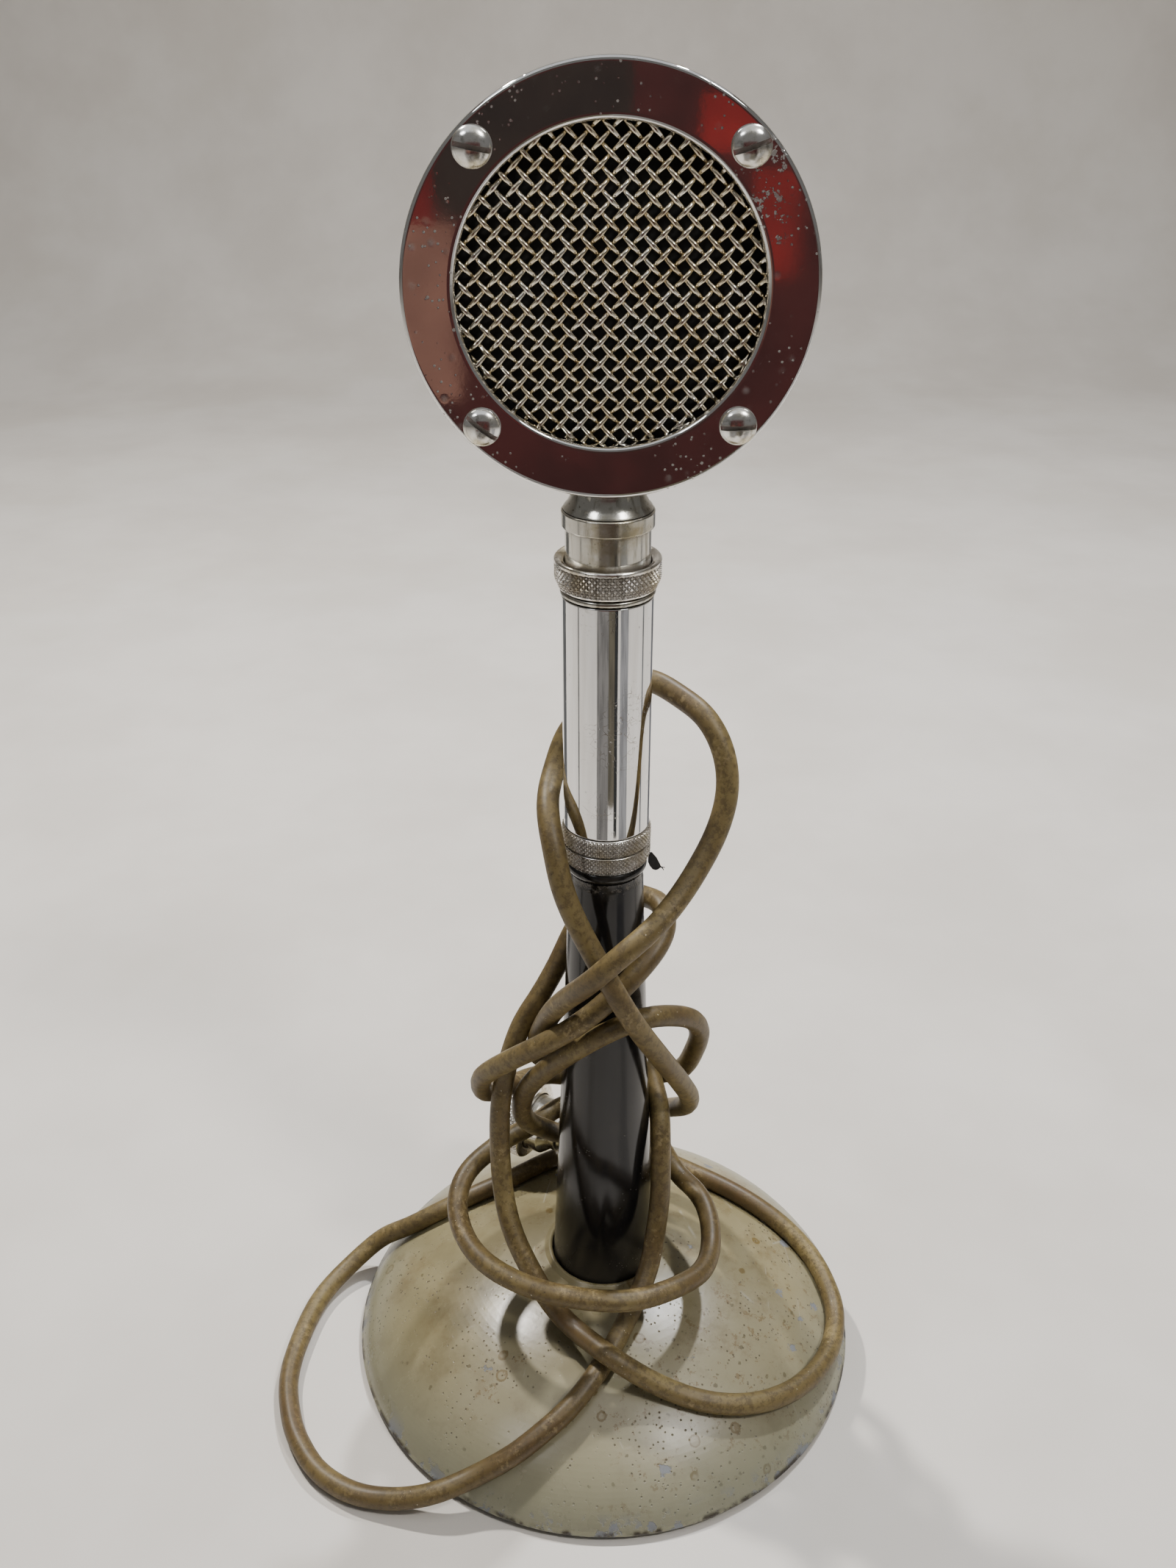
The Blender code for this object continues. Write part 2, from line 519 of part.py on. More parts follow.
def make_capsule():
    """The grille, cloth, diaphragm and capsule inside the case."""
    frame = head_frame()
    rod("wire_grille", 33.6, -7.0, -5.4, "mesh_wire", frame, steps=LARGE_ROUND)
    rod("grille_cloth", 33.4, -5.1, -4.5, "dark_cloth", frame)
    ring("capsule_gasket", 28.4, 33.5, -4.2, -2.6, "felt", frame)
    rod("diaphragm", 28.0, -3.6, -3.1, "steel", frame)
    outline = [(0.0, 5.0), (29.0, 5.0), (29.0, -1.3), (33.4, -1.3), (33.4, -2.3), (27.8, -2.3)]
    outline += [(27.8, 3.8), (0.0, 3.8)]
    turned("capsule_can", outline, "brass", frame)
    ring("capsule_retainer", 20.0, 31.0, 5.3, 6.5, "steel", frame)
    for i, side in enumerate((-1.0, 1.0)):
        post = to_axis((6.0 * side, 0.0, HEAD_Z), (0.0, 1.0, 0.0))
        rod(f"capsule_terminal_{i + 1}", 1.3, 5.3, 7.0, "brass", post, steps=SMALL_ROUND)
        points = [(6.0, 7.9, 298.5), (6.0, 8.1, 290.0), (5.0, 8.1, 271.0), (3.6, 6.6, 265.6)]
        points += [(2.4, 3.2, 263.2), (1.9, 2.0, 260.0), (1.7, 1.0, 254.0), (1.6, 0.0, 247.5)]
        points = [(x * side, y, z) for x, y, z in points]
        tube_curve(f"head_lead_{i + 1}", points, 0.6, "insulator")


def make_cord():
    """The free cord, from inside the column's grommet to inside the connector's clamp."""
    fine = along_route(CORD_ROUTE)
    points = [off_the_base(p) for p in thinned(fine, CORD_BEND_SAG)]
    tube_curve("cord", points, CORD_RADIUS, "cord_jacket")


def make_connector():
    """The round multi-pin connector on the cord's end; local Z runs to its mating face."""
    frame = to_axis(CONNECTOR_REAR - CONNECTOR_AXIS * 4.0, CONNECTOR_AXIS)
    outline = [(3.1, 8.0), (5.5, 8.0), (5.5, 1.2), (4.6, 0.0), (3.1, 0.0)]
    turned("connector_clamp", outline, "nickel", frame)
    outline = [(7.6, 25.0), (8.6, 25.0), (8.6, 13.0), (7.8, 12.0), (6.2, 10.2), (6.2, 8.3)]
    outline += [(3.6, 8.3), (3.6, 10.2), (7.6, 14.0)]
    turned("connector_shell", outline, "nickel", frame)
    outline = [(8.9, 26.6), (11.4, 26.6), (12.0, 26.0), (12.0, 18.2), (11.4, 17.6), (8.9, 17.6)]
    turned("coupling_ring", outline, "nickel", frame)
    insert = rod("connector_insert", 7.3, 15.5, 24.0, "insulator", frame)
    for i, (x, y) in enumerate(pin_frames()):
        spot = frame @ Matrix.Translation(Vector((x, y, 0.0)) * MM)
        lower = Matrix.Translation((0.0, 0.0, 22.0 * MM))
        cut(insert, cutter_cylinder(1.5, 8.0, spot @ lower, sides=SMALL_ROUND))
        ring(f"connector_contact_{i + 1}", 0.7, 1.2, 18.4, 24.4, "brass", spot, steps=SMALL_ROUND)


make_base()
make_base_fixing()
make_column()
make_cable_grommet()
make_inner_cable()
make_tape_tab()
make_swivel()
make_ferrule()
make_lock_ring()
make_socket()
make_plug()
make_neck()
make_front_ring()
make_ring_screws()
make_case()
make_capsule()
make_cord()
make_connector()
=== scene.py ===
"""Looks for the desktop microphone stand: turned, knurled and woven pieces, aged metal, paint and a cord.

Lengths below are in millimetres in the CAD's frame and become metres where a mesh is made.
"""

import json
import math

import bpy
import numpy as np
from mathutils import Matrix, Vector


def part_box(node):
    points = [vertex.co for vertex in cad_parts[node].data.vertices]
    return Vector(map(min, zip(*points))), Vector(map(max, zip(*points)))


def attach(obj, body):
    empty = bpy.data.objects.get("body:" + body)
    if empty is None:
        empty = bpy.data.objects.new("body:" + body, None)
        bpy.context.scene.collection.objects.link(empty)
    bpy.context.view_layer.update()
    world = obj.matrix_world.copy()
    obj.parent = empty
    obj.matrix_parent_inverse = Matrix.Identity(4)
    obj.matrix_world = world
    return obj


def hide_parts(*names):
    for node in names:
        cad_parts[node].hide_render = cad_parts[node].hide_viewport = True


MM = 0.001
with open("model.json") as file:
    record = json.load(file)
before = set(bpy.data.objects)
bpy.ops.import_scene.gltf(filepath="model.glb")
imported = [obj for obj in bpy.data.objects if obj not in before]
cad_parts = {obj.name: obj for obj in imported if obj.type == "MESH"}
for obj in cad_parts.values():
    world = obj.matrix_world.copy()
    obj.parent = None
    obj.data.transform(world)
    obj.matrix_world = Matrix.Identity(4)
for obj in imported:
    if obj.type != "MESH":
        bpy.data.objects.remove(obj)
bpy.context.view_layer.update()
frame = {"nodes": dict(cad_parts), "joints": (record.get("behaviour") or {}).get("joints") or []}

# ---- driving sizes, millimetres

FINE = 192
CORD_RADIUS = 2.8
SOFTENING = 3.2
WIRE_RADIUS = 0.54
WIRE_PITCH = 2.9
RING_MOUTH = 30.5
BASE_RADIUS_NOMINAL = 72.5
DOME_HEIGHT = 30.5
COLUMN_NARROW = 9.3
COLUMN_WIDE = 14.5
KNURL_TEETH = 62
KNURL_REPEAT = 1.15
KNURL_DEPTH = 0.45

# The cord's route from inside the column to the connector, the same points as the CAD's cord
CORD_ROUTE = [
    (0, 10, 40), (0, 14, 40), (0, 18, 40), (-0.5, 22.8, 41.9), (-3, 24.8, 46.3), (-6, 23.6, 51.5),
    (-9.3, 17.6, 56.5), (-13.7, 13, 61.1), (-16.6, 8.5, 66.9), (-21.2, 3.5, 73.9), (-23, 0, 81.9),
    (-21.5, -2, 89.9), (-16.4, -7, 100.7), (-9.1, -12, 111.1), (1.5, -14.4, 120.3), (9.4, -12, 122),
    (17, -6.5, 118.5), (23.1, -1, 113), (25.7, 4, 104.3), (24.7, 7, 96.3), (21.7, 10.5, 86.2),
    (13, 17, 79), (3, 20.5, 71.5), (-14.7, 21.4, 62.2), (-18.4, 16.7, 62.5), (-22.4, 11, 64.4),
    (-27, 6.5, 65.8), (-32.7, 2, 64.3), (-38.2, -3, 62.3), (-40.7, -9, 59.9), (-40.1, -16, 56.5),
    (-35.4, -25, 54.1), (-28.4, -31, 52.8), (-17.7, -36, 51.7), (-4.6, -38.5, 50.8), (6.9, -38, 49.8),
    (19.5, -31, 47.3), (26.5, -24, 45.3), (29.6, -14, 44.6), (29.4, -5, 47.2), (26.4, 3, 48.3),
    (22, 9, 47.9), (15, 18.5, 55), (4, 25, 61.5), (-8, 27.6, 69), (-19, 22, 75), (-26, 14, 78.5),
    (-32.6, 5.3, 83.1), (-33.2, -2.5, 95), (-26.5, -9.5, 105.8), (-15.8, -15, 116.5),
    (-8.3, -15.2, 121.7), (0.7, -14, 129.4), (8.1, -11, 136.1), (13.8, -5.5, 140.9), (15.6, 0, 144),
    (14.3, 5, 145.8), (11.3, 10, 143.9), (5, 14.8, 143), (-5, 14.2, 137), (-12.8, 8, 123.7),
    (-17.6, 4, 116.5), (-22, 1.9, 110.2), (-24.7, -1.8, 104), (-26.9, -0.5, 94.3), (-28.3, -3.2, 86.3),
    (-28.7, -6, 74.7), (-27.7, -12, 61.1), (-25.3, -17.5, 53.5), (-21.1, -22.5, 46.2), (-14.8, -28, 37),
    (-9.9, -31, 32.7), (-4.7, -36.7, 33.1), (0.8, -42.9, 34.4), (8.7, -44.9, 29.4), (18, -46.3, 24.3),
    (27, -47.5, 21.8), (35.7, -46.5, 19.5), (44.4, -43.3, 17.3), (53.2, -37.3, 15), (59.3, -30.5, 13.6),
    (64.3, -22.1, 12.3), (66.8, -14.5, 12), (67.6, -7.4, 12.3), (66.1, -0.8, 14.1), (63.5, 6.2, 16),
    (58.4, 13, 18.7), (52, 18.4, 21.6), (43.9, 23.8, 24.2), (35.4, 28.5, 26), (27.2, 32.6, 27.1),
    (12, 42, 27), (-2, 43.5, 26.8), (-15, 38, 27.6), (-28.1, 29.1, 27.8), (-39.1, 24.9, 25.6),
    (-49.1, 21.9, 22.3), (-59.9, 20.8, 16.3), (-68, 22.1, 11), (-73.1, 20.1, 7.5), (-78.9, 15.5, 4.5),
    (-84.4, 8.3, 3.1), (-87.3, 0.8, 2.9), (-90.4, -17.2, 2.9), (-90.2, -26.3, 2.9), (-88.6, -32.9, 2.9),
    (-86.1, -40.4, 2.9), (-78.3, -52.2, 2.9), (-73.1, -56.4, 3), (-66.6, -59.9, 3.2), (-59.3, -61.8, 4),
    (-51.7, -63, 5.8), (-43.4, -63, 8.6), (-35.9, -60.4, 10), (-24.4, -58.3, 16.4),
    (-18.3, -55.4, 19.7), (-10.2, -50.3, 23.5), (-4, -43.7, 26.6), (0.8, -37.1, 28.8),
    (5.1, -30.5, 32.5), (8.5, -25.5, 36.7), (11.9, -20, 41.4), (13.8, -14.5, 48.7), (15.1, -11, 58.2),
    (15.3, -8, 67.8), (15.3, -4.5, 75.7), (15.1, 0.5, 81.8), (13.9, 6.5, 84.2), (9.5, 13.5, 93),
    (-1, 17, 91), (-9, 16.5, 88.5), (-16, 11.5, 89), (-18.6, 8, 95), (-18.6, 6, 97.5),
    (-16.9, -4.7, 112.4), (-12.3, -14.1, 127.7), (-3.7, -25, 143.5), (3.3, -26, 151.6),
    (10.5, -22.5, 156.4), (16.6, -17.5, 161.5), (22.3, -12, 168.2), (26.5, -8, 175.5),
    (28.7, -4.5, 184.5), (27.3, -1, 193.5), (23.5, 3, 199.5), (18.7, 8, 201.6), (9, 13.5, 205),
    (0, 16, 198), (-8.7, 13, 192), (-12.4, 8.6, 183.4), (-14.2, 1, 179.4), (-14, -5.5, 176.6),
    (-12.6, -10.5, 170.8), (-11, -13.5, 163), (-8.5, -15.2, 156.1), (-4.5, -17, 147.9),
    (0.4, -20.3, 139.3), (6.3, -20.3, 127.4), (13.8, -14.5, 111.4), (19.3, -7, 97.7), (23.4, 1.5, 84.2),
    (23.2, 8.5, 75.1), (21, 18, 66), (17, 26, 58), (9, 30, 49), (-0.8, 29.2, 42), (-8.3, 32.8, 41.4),
]


def node_box(node):
    """Lowest and highest corners of a CAD node, millimetres."""
    low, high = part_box(node)
    return Vector(low) / MM, Vector(high) / MM


def round_size(node):
    """Outer radius, bottom and top of a node turned about the stand's axis."""
    low, high = node_box(node)
    return (high.x - low.x) / 2, low.z, high.z


RING_LOW, RING_HIGH = node_box("front_ring")
HEAD_Z = (RING_LOW.z + RING_HIGH.z) / 2
RING_OUTER = (RING_HIGH.x - RING_LOW.x) / 2
RING_FRONT = RING_LOW.y
RING_BACK = RING_HIGH.y
CASE_BACK = node_box("rear_case")[1].y
BASE_FOOT = node_box("base_casting")[0].z
COLUMN_RADIUS, COLUMN_FOOT, COLUMN_TOP = round_size("column")
TUBE_RADIUS, TUBE_FOOT, TUBE_TOP = round_size("upper_tube")


# ---- shapes


def link(name, data, matrix=None):
    """Put data in the scene as an object."""
    made = bpy.data.objects.new(name, data)
    bpy.context.scene.collection.objects.link(made)
    if matrix is not None:
        made.matrix_world = matrix
    return made


def finish_mesh(name, points, faces, sharp=32.0, matrix=None):
    """A smooth-shaded mesh object from points in millimetres."""
    mesh = bpy.data.meshes.new(name)
    mesh.from_pydata((np.asarray(points) * MM).tolist(), [], faces)
    mesh.validate()
    mesh.shade_smooth()
    mesh.set_sharp_from_angle(angle=math.radians(sharp))
    return link(name, mesh, matrix)


def to_axis(centre, axis):
    """A frame at centre, in millimetres, whose local Z runs along axis."""
    turn = Vector(axis).to_track_quat("Z", "Y").to_matrix().to_4x4()
    return Matrix.Translation(Vector(centre) * MM) @ turn


def eased(corners, radius=0.25, steps=4, closed=True):
    """Round the corners of an outline of (radius, height) points."""
    made = []
    count = len(corners)
    for i, corner in enumerate(corners):
        here = Vector(corner[:2])
        size = corner[2] if len(corner) > 2 else radius
        if (not closed and i in (0, count - 1)) or size <= 0.0:
            made.append(tuple(here))
            continue
        before = Vector(corners[i - 1][:2]) - here
        after = Vector(corners[(i + 1) % count][:2]) - here
        reach = min(size, 0.45 * before.length, 0.45 * after.length)
        start = here + before.normalized() * reach
        end = here + after.normalized() * reach
        for k in range(steps + 1):
            t = k / steps
            made.append(tuple(start.lerp(here, t).lerp(here.lerp(end, t), t)))
    return made


def arc(centre, radius, start, end, count):
    """Points along an arc of a turned profile, between two angles in radians."""
    angles = np.linspace(start, end, count)
    return [(centre[0] + radius * math.cos(a), centre[1] + radius * math.sin(a)) for a in angles]


def densified(outline, low, high, step=0.1):
    """Add points to the upright stretches of an outline between two heights."""
    made = []
    for i, here in enumerate(outline):
        after = outline[(i + 1) % len(outline)]
        made.append(here)
        span = abs(after[1] - here[1])
        inside = min(here[1], after[1]) >= low - 0.01 and max(here[1], after[1]) <= high + 0.01
        if inside and span > 2 * step:
            count = int(span / step)
            for k in range(1, count):
                t = k / count
                made.append((here[0] + (after[0] - here[0]) * t, here[1] + (after[1] - here[1]) * t))
    return made


def guarded(outline, closed=True, reach=0.12):
    """Add points close to both ends of each long stretch, so that smooth shading leaves it flat."""
    made = []
    for i, here in enumerate(outline):
        made.append(here)
        if i == len(outline) - 1 and not closed:
            break
        after = outline[(i + 1) % len(outline)]
        span = math.dist(here, after)
        if span > 4 * reach:
            for t in (reach / span, 1.0 - reach / span):
                made.append((here[0] + (after[0] - here[0]) * t, here[1] + (after[1] - here[1]) * t))
    return made


def turned(name, outline, segments=FINE, relief=None, matrix=None, closed=True, sharp=32.0):
    """Turn an outline about local Z; relief(angle, radius, height) adds to the radius."""
    outline = np.asarray(guarded(outline, closed), float)
    angles = np.arange(segments) * 2 * math.pi / segments
    radius = outline[:, 0][:, None] + np.zeros(segments)
    height = outline[:, 1][:, None] + np.zeros(segments)
    turn = angles[None, :] + np.zeros_like(radius)
    if relief is not None:
        radius = radius + relief(turn, radius, height)
    points = np.stack([radius * np.cos(turn), radius * np.sin(turn), height], -1).reshape(-1, 3)
    rows = len(outline)
    faces = []
    for i in range(rows if closed else rows - 1):
        top, bottom = i * segments, ((i + 1) % rows) * segments
        for k in range(segments):
            after = (k + 1) % segments
            faces.append((top + k, bottom + k, bottom + after, top + after))
    if not closed:
        faces.append(tuple(range(segments)))
        faces.append(tuple(reversed(range((rows - 1) * segments, rows * segments))))
    return finish_mesh(name, points, faces, sharp, matrix)


def wave(value):
    """A triangle wave that is 1 on whole numbers and 0 half way between them."""
    return np.abs(2.0 * (value - np.floor(value)) - 1.0)


def knurl(radius, low, high, teeth=KNURL_TEETH, repeat=KNURL_REPEAT, depth=KNURL_DEPTH, fade=0.25):
    """Relief of a diamond knurl on the band of a ring near a radius, between two heights."""

    def relief(angle, r, z):
        """How far a point moves outwards."""
        along = angle * teeth / (2 * math.pi)
        up = (z - low) / repeat
        diamond = np.minimum(wave(along + up), wave(along - up))
        tooth = np.clip(diamond * 1.15, 0.0, 1.0)
        edge = np.clip((z - low) / fade, 0.0, 1.0) * np.clip((high - z) / fade, 0.0, 1.0)
        band = np.clip((r - (radius - 1.0)) / 0.6, 0.0, 1.0)
        return -depth * (1.0 - tooth) * edge * band

    return relief


def tube_mesh(name, paths, radius, sides=8):
    """Closed round wires along several point lists, as one mesh."""
    points, faces = [], []
    ring = np.arange(sides) * 2 * math.pi / sides
    for path in paths:
        path = np.asarray(path, float)
        ahead = np.gradient(path, axis=0)
        ahead /= np.linalg.norm(ahead, axis=1)[:, None]
        side = np.cross(ahead, np.array([0.0, 1.0, 0.0]))
        side /= np.linalg.norm(side, axis=1)[:, None]
        other = np.cross(side, ahead)
        first = sum(len(p) for p in points)
        loops = path[:, None] + radius * (
            np.cos(ring)[None, :, None] * side[:, None] + np.sin(ring)[None, :, None] * other[:, None]
        )
        points.append(loops.reshape(-1, 3))
        for i in range(len(path) - 1):
            low = first + i * sides
            for k in range(sides):
                after = (k + 1) % sides
                faces.append((low + k, low + after, low + sides + after, low + sides + k))
        faces.append(tuple(first + k for k in reversed(range(sides))))
        faces.append(tuple(first + (len(path) - 1) * sides + k for k in range(sides)))
    return finish_mesh(name, np.concatenate(points), faces, 60.0)


def wire_curve(name, points, radius, resolution=5):
    """A round wire or cord as one open spline through points in millimetres."""
    curve = bpy.data.curves.new(name, "CURVE")
    curve.dimensions = "3D"
    curve.bevel_depth = radius * MM
    curve.bevel_resolution = resolution
    curve.use_fill_caps = True
    spline = curve.splines.new("POLY")
    spline.points.add(len(points) - 1)
    for target, point in zip(spline.points, points):
        target.co = (*(Vector(point) * MM), 1.0)
    spline.use_smooth = True
    return link(name, curve)


def along_route(route, spacing=1.3):
    """Read a centripetal Catmull-Rom curve through the route at an even spacing."""
    points = [Vector(p) for p in route]
    points = [2 * points[0] - points[1]] + points + [2 * points[-1] - points[-2]]
    fine = []
    for p0, p1, p2, p3 in zip(points, points[1:], points[2:], points[3:]):
        t1 = (p1 - p0).length ** 0.5
        t2 = t1 + (p2 - p1).length ** 0.5
        t3 = t2 + (p3 - p2).length ** 0.5
        count = max(2, round((p2 - p1).length / spacing))
        for i in range(count):
            t = t1 + (t2 - t1) * i / count
            a1 = p0.lerp(p1, t / t1)
            a2 = p1.lerp(p2, (t - t1) / (t2 - t1))
            a3 = p2.lerp(p3, (t - t2) / (t3 - t2))
            b1 = a1.lerp(a2, t / t2)
            b2 = a2.lerp(a3, (t - t1) / (t3 - t1))
            fine.append(b1.lerp(b2, (t - t1) / (t2 - t1)))
    fine.append(points[-2])
    return softened(np.array(fine), SOFTENING / spacing)


def softened(points, steps):
    """Even out small bumps of a sampled route with a Gaussian average, its ends kept."""
    reach = int(3 * steps)
    weights = np.exp(-0.5 * (np.arange(-reach, reach + 1) / steps) ** 2)
    weights /= weights.sum()
    before = 2 * points[0] - points[reach:0:-1]
    after = 2 * points[-1] - points[-2 : -reach - 2 : -1]
    padded = np.concatenate([before, points, after])
    return np.stack([np.convolve(padded[:, axis], weights, "valid") for axis in range(3)], 1)


def dome_height(radius):
    """Height of the base's outer surface at a radius, as in the CAD."""
    share = min(abs(radius) / BASE_RADIUS_NOMINAL, 1.0)
    return DOME_HEIGHT * (1.0 - share**2.2) ** 0.65


def column_radius(height):
    """Outer radius of the tapered column at a height, as in the CAD."""
    share = min(max((height - 30.0) / 128.0, 0.0), 1.0)
    return COLUMN_NARROW + (COLUMN_WIDE - COLUMN_NARROW) * (1.0 - share) ** 1.1


# ---- material kit


class Shader:
    """Builds one Principled material from named nodes."""

    def __init__(self, name):
        """Start a material, whose patterns follow the object's own coordinates."""
        self.material = bpy.data.materials.new(name)
        self.material.use_nodes = True
        self.tree = self.material.node_tree
        self.surface = self.tree.nodes["Principled BSDF"]
        self.place = self.tree.nodes.new("ShaderNodeTexCoord").outputs["Object"]

    def node(self, kind, inputs=None, **options):
        """Add a node, set its options, and feed its inputs by name or number."""
        made = self.tree.nodes.new(kind)
        for key, value in options.items():
            setattr(made, key, value)
        for key, value in (inputs or {}).items():
            self.feed(made.inputs[key], value)
        return made

    def feed(self, socket, value):
        """Link a socket to an input, or set the input to a plain value."""
        if isinstance(value, bpy.types.NodeSocket):
            self.tree.links.new(value, socket)
        elif value is not None:
            socket.default_value = value

    def put(self, **inputs):
        """Set inputs of the Principled shader, by names with _ for spaces."""
        for key, value in inputs.items():
            self.feed(self.surface.inputs[key.replace("_", " ")], value)
        return self.material

    def stretched(self, scale, turn=(0.0, 0.0, 0.0)):
        """Object coordinates scaled along each axis."""
        inputs = {"Vector": self.place, "Scale": scale, "Rotation": turn}
        return self.node("ShaderNodeMapping", inputs).outputs["Vector"]

    def noise(self, scale, detail=4.0, rough=0.55, place=None):
        """A cloudy pattern; scale is in repeats a metre."""
        inputs = {"Vector": place or self.place, "Scale": scale, "Detail": detail, "Roughness": rough}
        return self.node("ShaderNodeTexNoise", inputs).outputs["Fac"]

    def drift(self, scale):
        """A coloured noise, for pushing coordinates about."""
        inputs = {"Vector": self.place, "Scale": scale, "Detail": 3.0}
        return self.node("ShaderNodeTexNoise", inputs).outputs["Color"]

    def cells(self, scale, feature="F1", place=None):
        """Distance from the nearest of many scattered points, or from the edges between them."""
        inputs = {"Vector": place or self.place, "Scale": scale}
        return self.node("ShaderNodeTexVoronoi", inputs, feature=feature).outputs["Distance"]

    def step(self, value, low, high, start=0.0, end=1.0):
        """Map a value from low..high to start..end, smoothly and clamped."""
        inputs = {"Value": value, "From Min": low, "From Max": high, "To Min": start, "To Max": end}
        made = self.node("ShaderNodeMapRange", inputs, interpolation_type="SMOOTHSTEP")
        return made.outputs["Result"]

    def math(self, operation, a, b=None):
        """Work out one number from one or two."""
        return self.node("ShaderNodeMath", {0: a, 1: b}, operation=operation).outputs[0]

    def both(self, a, b):
        """One mask within another, or a mask at a share of its strength."""
        return self.math("MULTIPLY", a, b)

    def either(self, a, b):
        """The stronger of two masks."""
        return self.math("MAXIMUM", a, b)

    def mix(self, share, a, b, blend="MIX"):
        """Mix two colours."""
        made = self.node("ShaderNodeMix", data_type="RGBA", blend_type=blend)
        self.feed(made.inputs[0], share)
        self.feed(made.inputs[6], a if isinstance(a, bpy.types.NodeSocket) else (*a, 1.0))
        self.feed(made.inputs[7], b if isinstance(b, bpy.types.NodeSocket) else (*b, 1.0))
        return made.outputs[2]

    def ramp(self, value, *stops):
        """A colour ramp of (position, colour) stops."""
        made = self.node("ShaderNodeValToRGB")
        self.feed(made.inputs["Fac"], value)
        elements = made.color_ramp.elements
        while len(elements) < len(stops):
            elements.new(0.5)
        for element, (position, colour) in zip(elements, stops):
            element.position = position
            element.color = (*colour, 1.0)
        return made.outputs["Color"]

    def bump(self, height, distance, strength=1.0, under=None):
        """Relief from a height pattern, a distance in metres deep, over another relief if given."""
        inputs = {"Strength": strength, "Distance": distance, "Height": height, "Normal": under}
        return self.node("ShaderNodeBump", inputs).outputs["Normal"]

    def part(self, axis):
        """One coordinate of the object's place, 0, 1 or 2."""
        return self.node("ShaderNodeSeparateXYZ", {0: self.place}).outputs[axis]

    def band(self, axis, centre, width):
        """1 at a coordinate in metres and 0 beyond a width from it."""
        away = self.math("ABSOLUTE", self.math("SUBTRACT", self.part(axis), centre))
        return self.step(away, width, width * 0.15)

    def hollows(self, distance, open_share=0.92, closed_share=0.45):
        """1 in corners and grooves and 0 on open faces."""
        made = self.node("ShaderNodeAmbientOcclusion", {"Distance": distance}, samples=6)
        return self.step(made.outputs["AO"], open_share, closed_share)


# ---- materials


def make_chrome(name, tint=(0.80, 0.80, 0.79), pits=1.0, haze=0.06, veining=0.0):
    """Old polished chrome with pits, blurred spots, a faint haze and optional dark veins."""
    s = Shader(name)
    patches = s.noise(38.0, 3.0, 0.6)
    small = s.both(s.step(s.cells(700.0), 0.20, 0.10), s.step(s.noise(60.0, 3.0), 0.45, 0.60))
    large = s.both(s.step(s.cells(330.0), 0.13, 0.06), s.step(patches, 0.47, 0.58))
    crust = s.both(s.step(s.noise(520.0, 3.0, 0.7), 0.56, 0.62), s.step(s.noise(24.0, 2.0), 0.58, 0.66))
    blurred = s.both(s.step(s.cells(230.0), 0.26, 0.04), s.step(s.noise(48.0, 3.0), 0.42, 0.62, 0.0, 0.35))
    pitting = s.either(s.either(small, large), s.either(crust, blurred))
    pitting = s.both(pitting, 0.75 * pits)
    wander = s.mix(0.05, s.place, s.drift(120.0))
    lines = s.step(s.cells(110.0, "DISTANCE_TO_EDGE", place=wander), 0.022, 0.0)
    veins = s.both(lines, s.step(s.noise(60.0, 3.0), 0.47, 0.56, 0.0, veining))
    colour = s.mix(pitting, tint, (0.15, 0.125, 0.105))
    colour = s.mix(veins, colour, (0.30, 0.27, 0.23))
    rough = s.math("ADD", s.both(pitting, 0.5), s.step(patches, 0.35, 0.75, 0.035, 0.035 + haze))
    rough = s.math("ADD", rough, s.both(veins, 0.3))
    metal = s.math("SUBTRACT", 1.0, s.both(pitting, 0.7))
    hair = s.noise(900.0, 2.0, place=s.stretched((1, 1, 0.06)))
    dents = s.bump(hair, 0.00001, 0.2)
    dents = s.bump(s.math("SUBTRACT", 1.0, pitting), 0.00005, 0.8, dents)
    return s.put(Base_Color=colour, Metallic=metal, Roughness=rough, Normal=dents)


def make_nickel(name, dirt_and_shade=1.0, tint=(0.60, 0.59, 0.54), reach=0.0016, closed=0.45):
    """Aged nickel: a dull film in streaks, and brown dirt with painted shade in the hollows."""
    s = Shader(name)
    film = s.noise(120.0, 5.0, 0.65)
    streak = s.noise(520.0, 4.0, 0.65, place=s.stretched((1, 1, 0.10)))
    dulled = tuple(share * part for share, part in zip(tint, (0.60, 0.54, 0.40)))
    colour = s.mix(s.step(film, 0.40, 0.68), tint, dulled)
    colour = s.mix(s.step(streak, 0.52, 0.72, 0.0, 0.75), colour, (0.21, 0.19, 0.14))
    specks = s.both(s.step(s.cells(900.0), 0.20, 0.10), s.step(s.noise(90.0), 0.48, 0.58))
    colour = s.mix(specks, colour, (0.10, 0.085, 0.06))
    # brown dirt and painted shade: the hollows, found by ambient occlusion, are darkened and dulled
    grime_and_shade = s.both(s.hollows(reach, closed_share=closed), dirt_and_shade)
    colour = s.mix(grime_and_shade, colour, (0.060, 0.042, 0.024))
    rough = s.math("ADD", s.step(film, 0.3, 0.75, 0.12, 0.32), s.both(grime_and_shade, 0.4))
    metal = s.math("SUBTRACT", 1.0, s.both(grime_and_shade, 0.85))
    bumps = s.bump(s.math("ADD", film, streak), 0.00004, 0.3)
    return s.put(Base_Color=colour, Metallic=metal, Roughness=rough, Normal=bumps)


def make_wire_metal():
    """Tarnished woven wire: nickel with a golden film."""
    s = Shader("woven_wire_metal")
    film = s.noise(160.0, 4.0, 0.6)
    colour = s.ramp(film, (0.3, (0.86, 0.84, 0.78)), (0.55, (0.78, 0.70, 0.53)), (0.75, (0.50, 0.41, 0.27)))
    rough = s.step(film, 0.3, 0.8, 0.11, 0.22)
    bumps = s.bump(s.noise(1400.0), 0.00003, 0.4)
    return s.put(Base_Color=colour, Metallic=1.0, Roughness=rough, Normal=bumps)


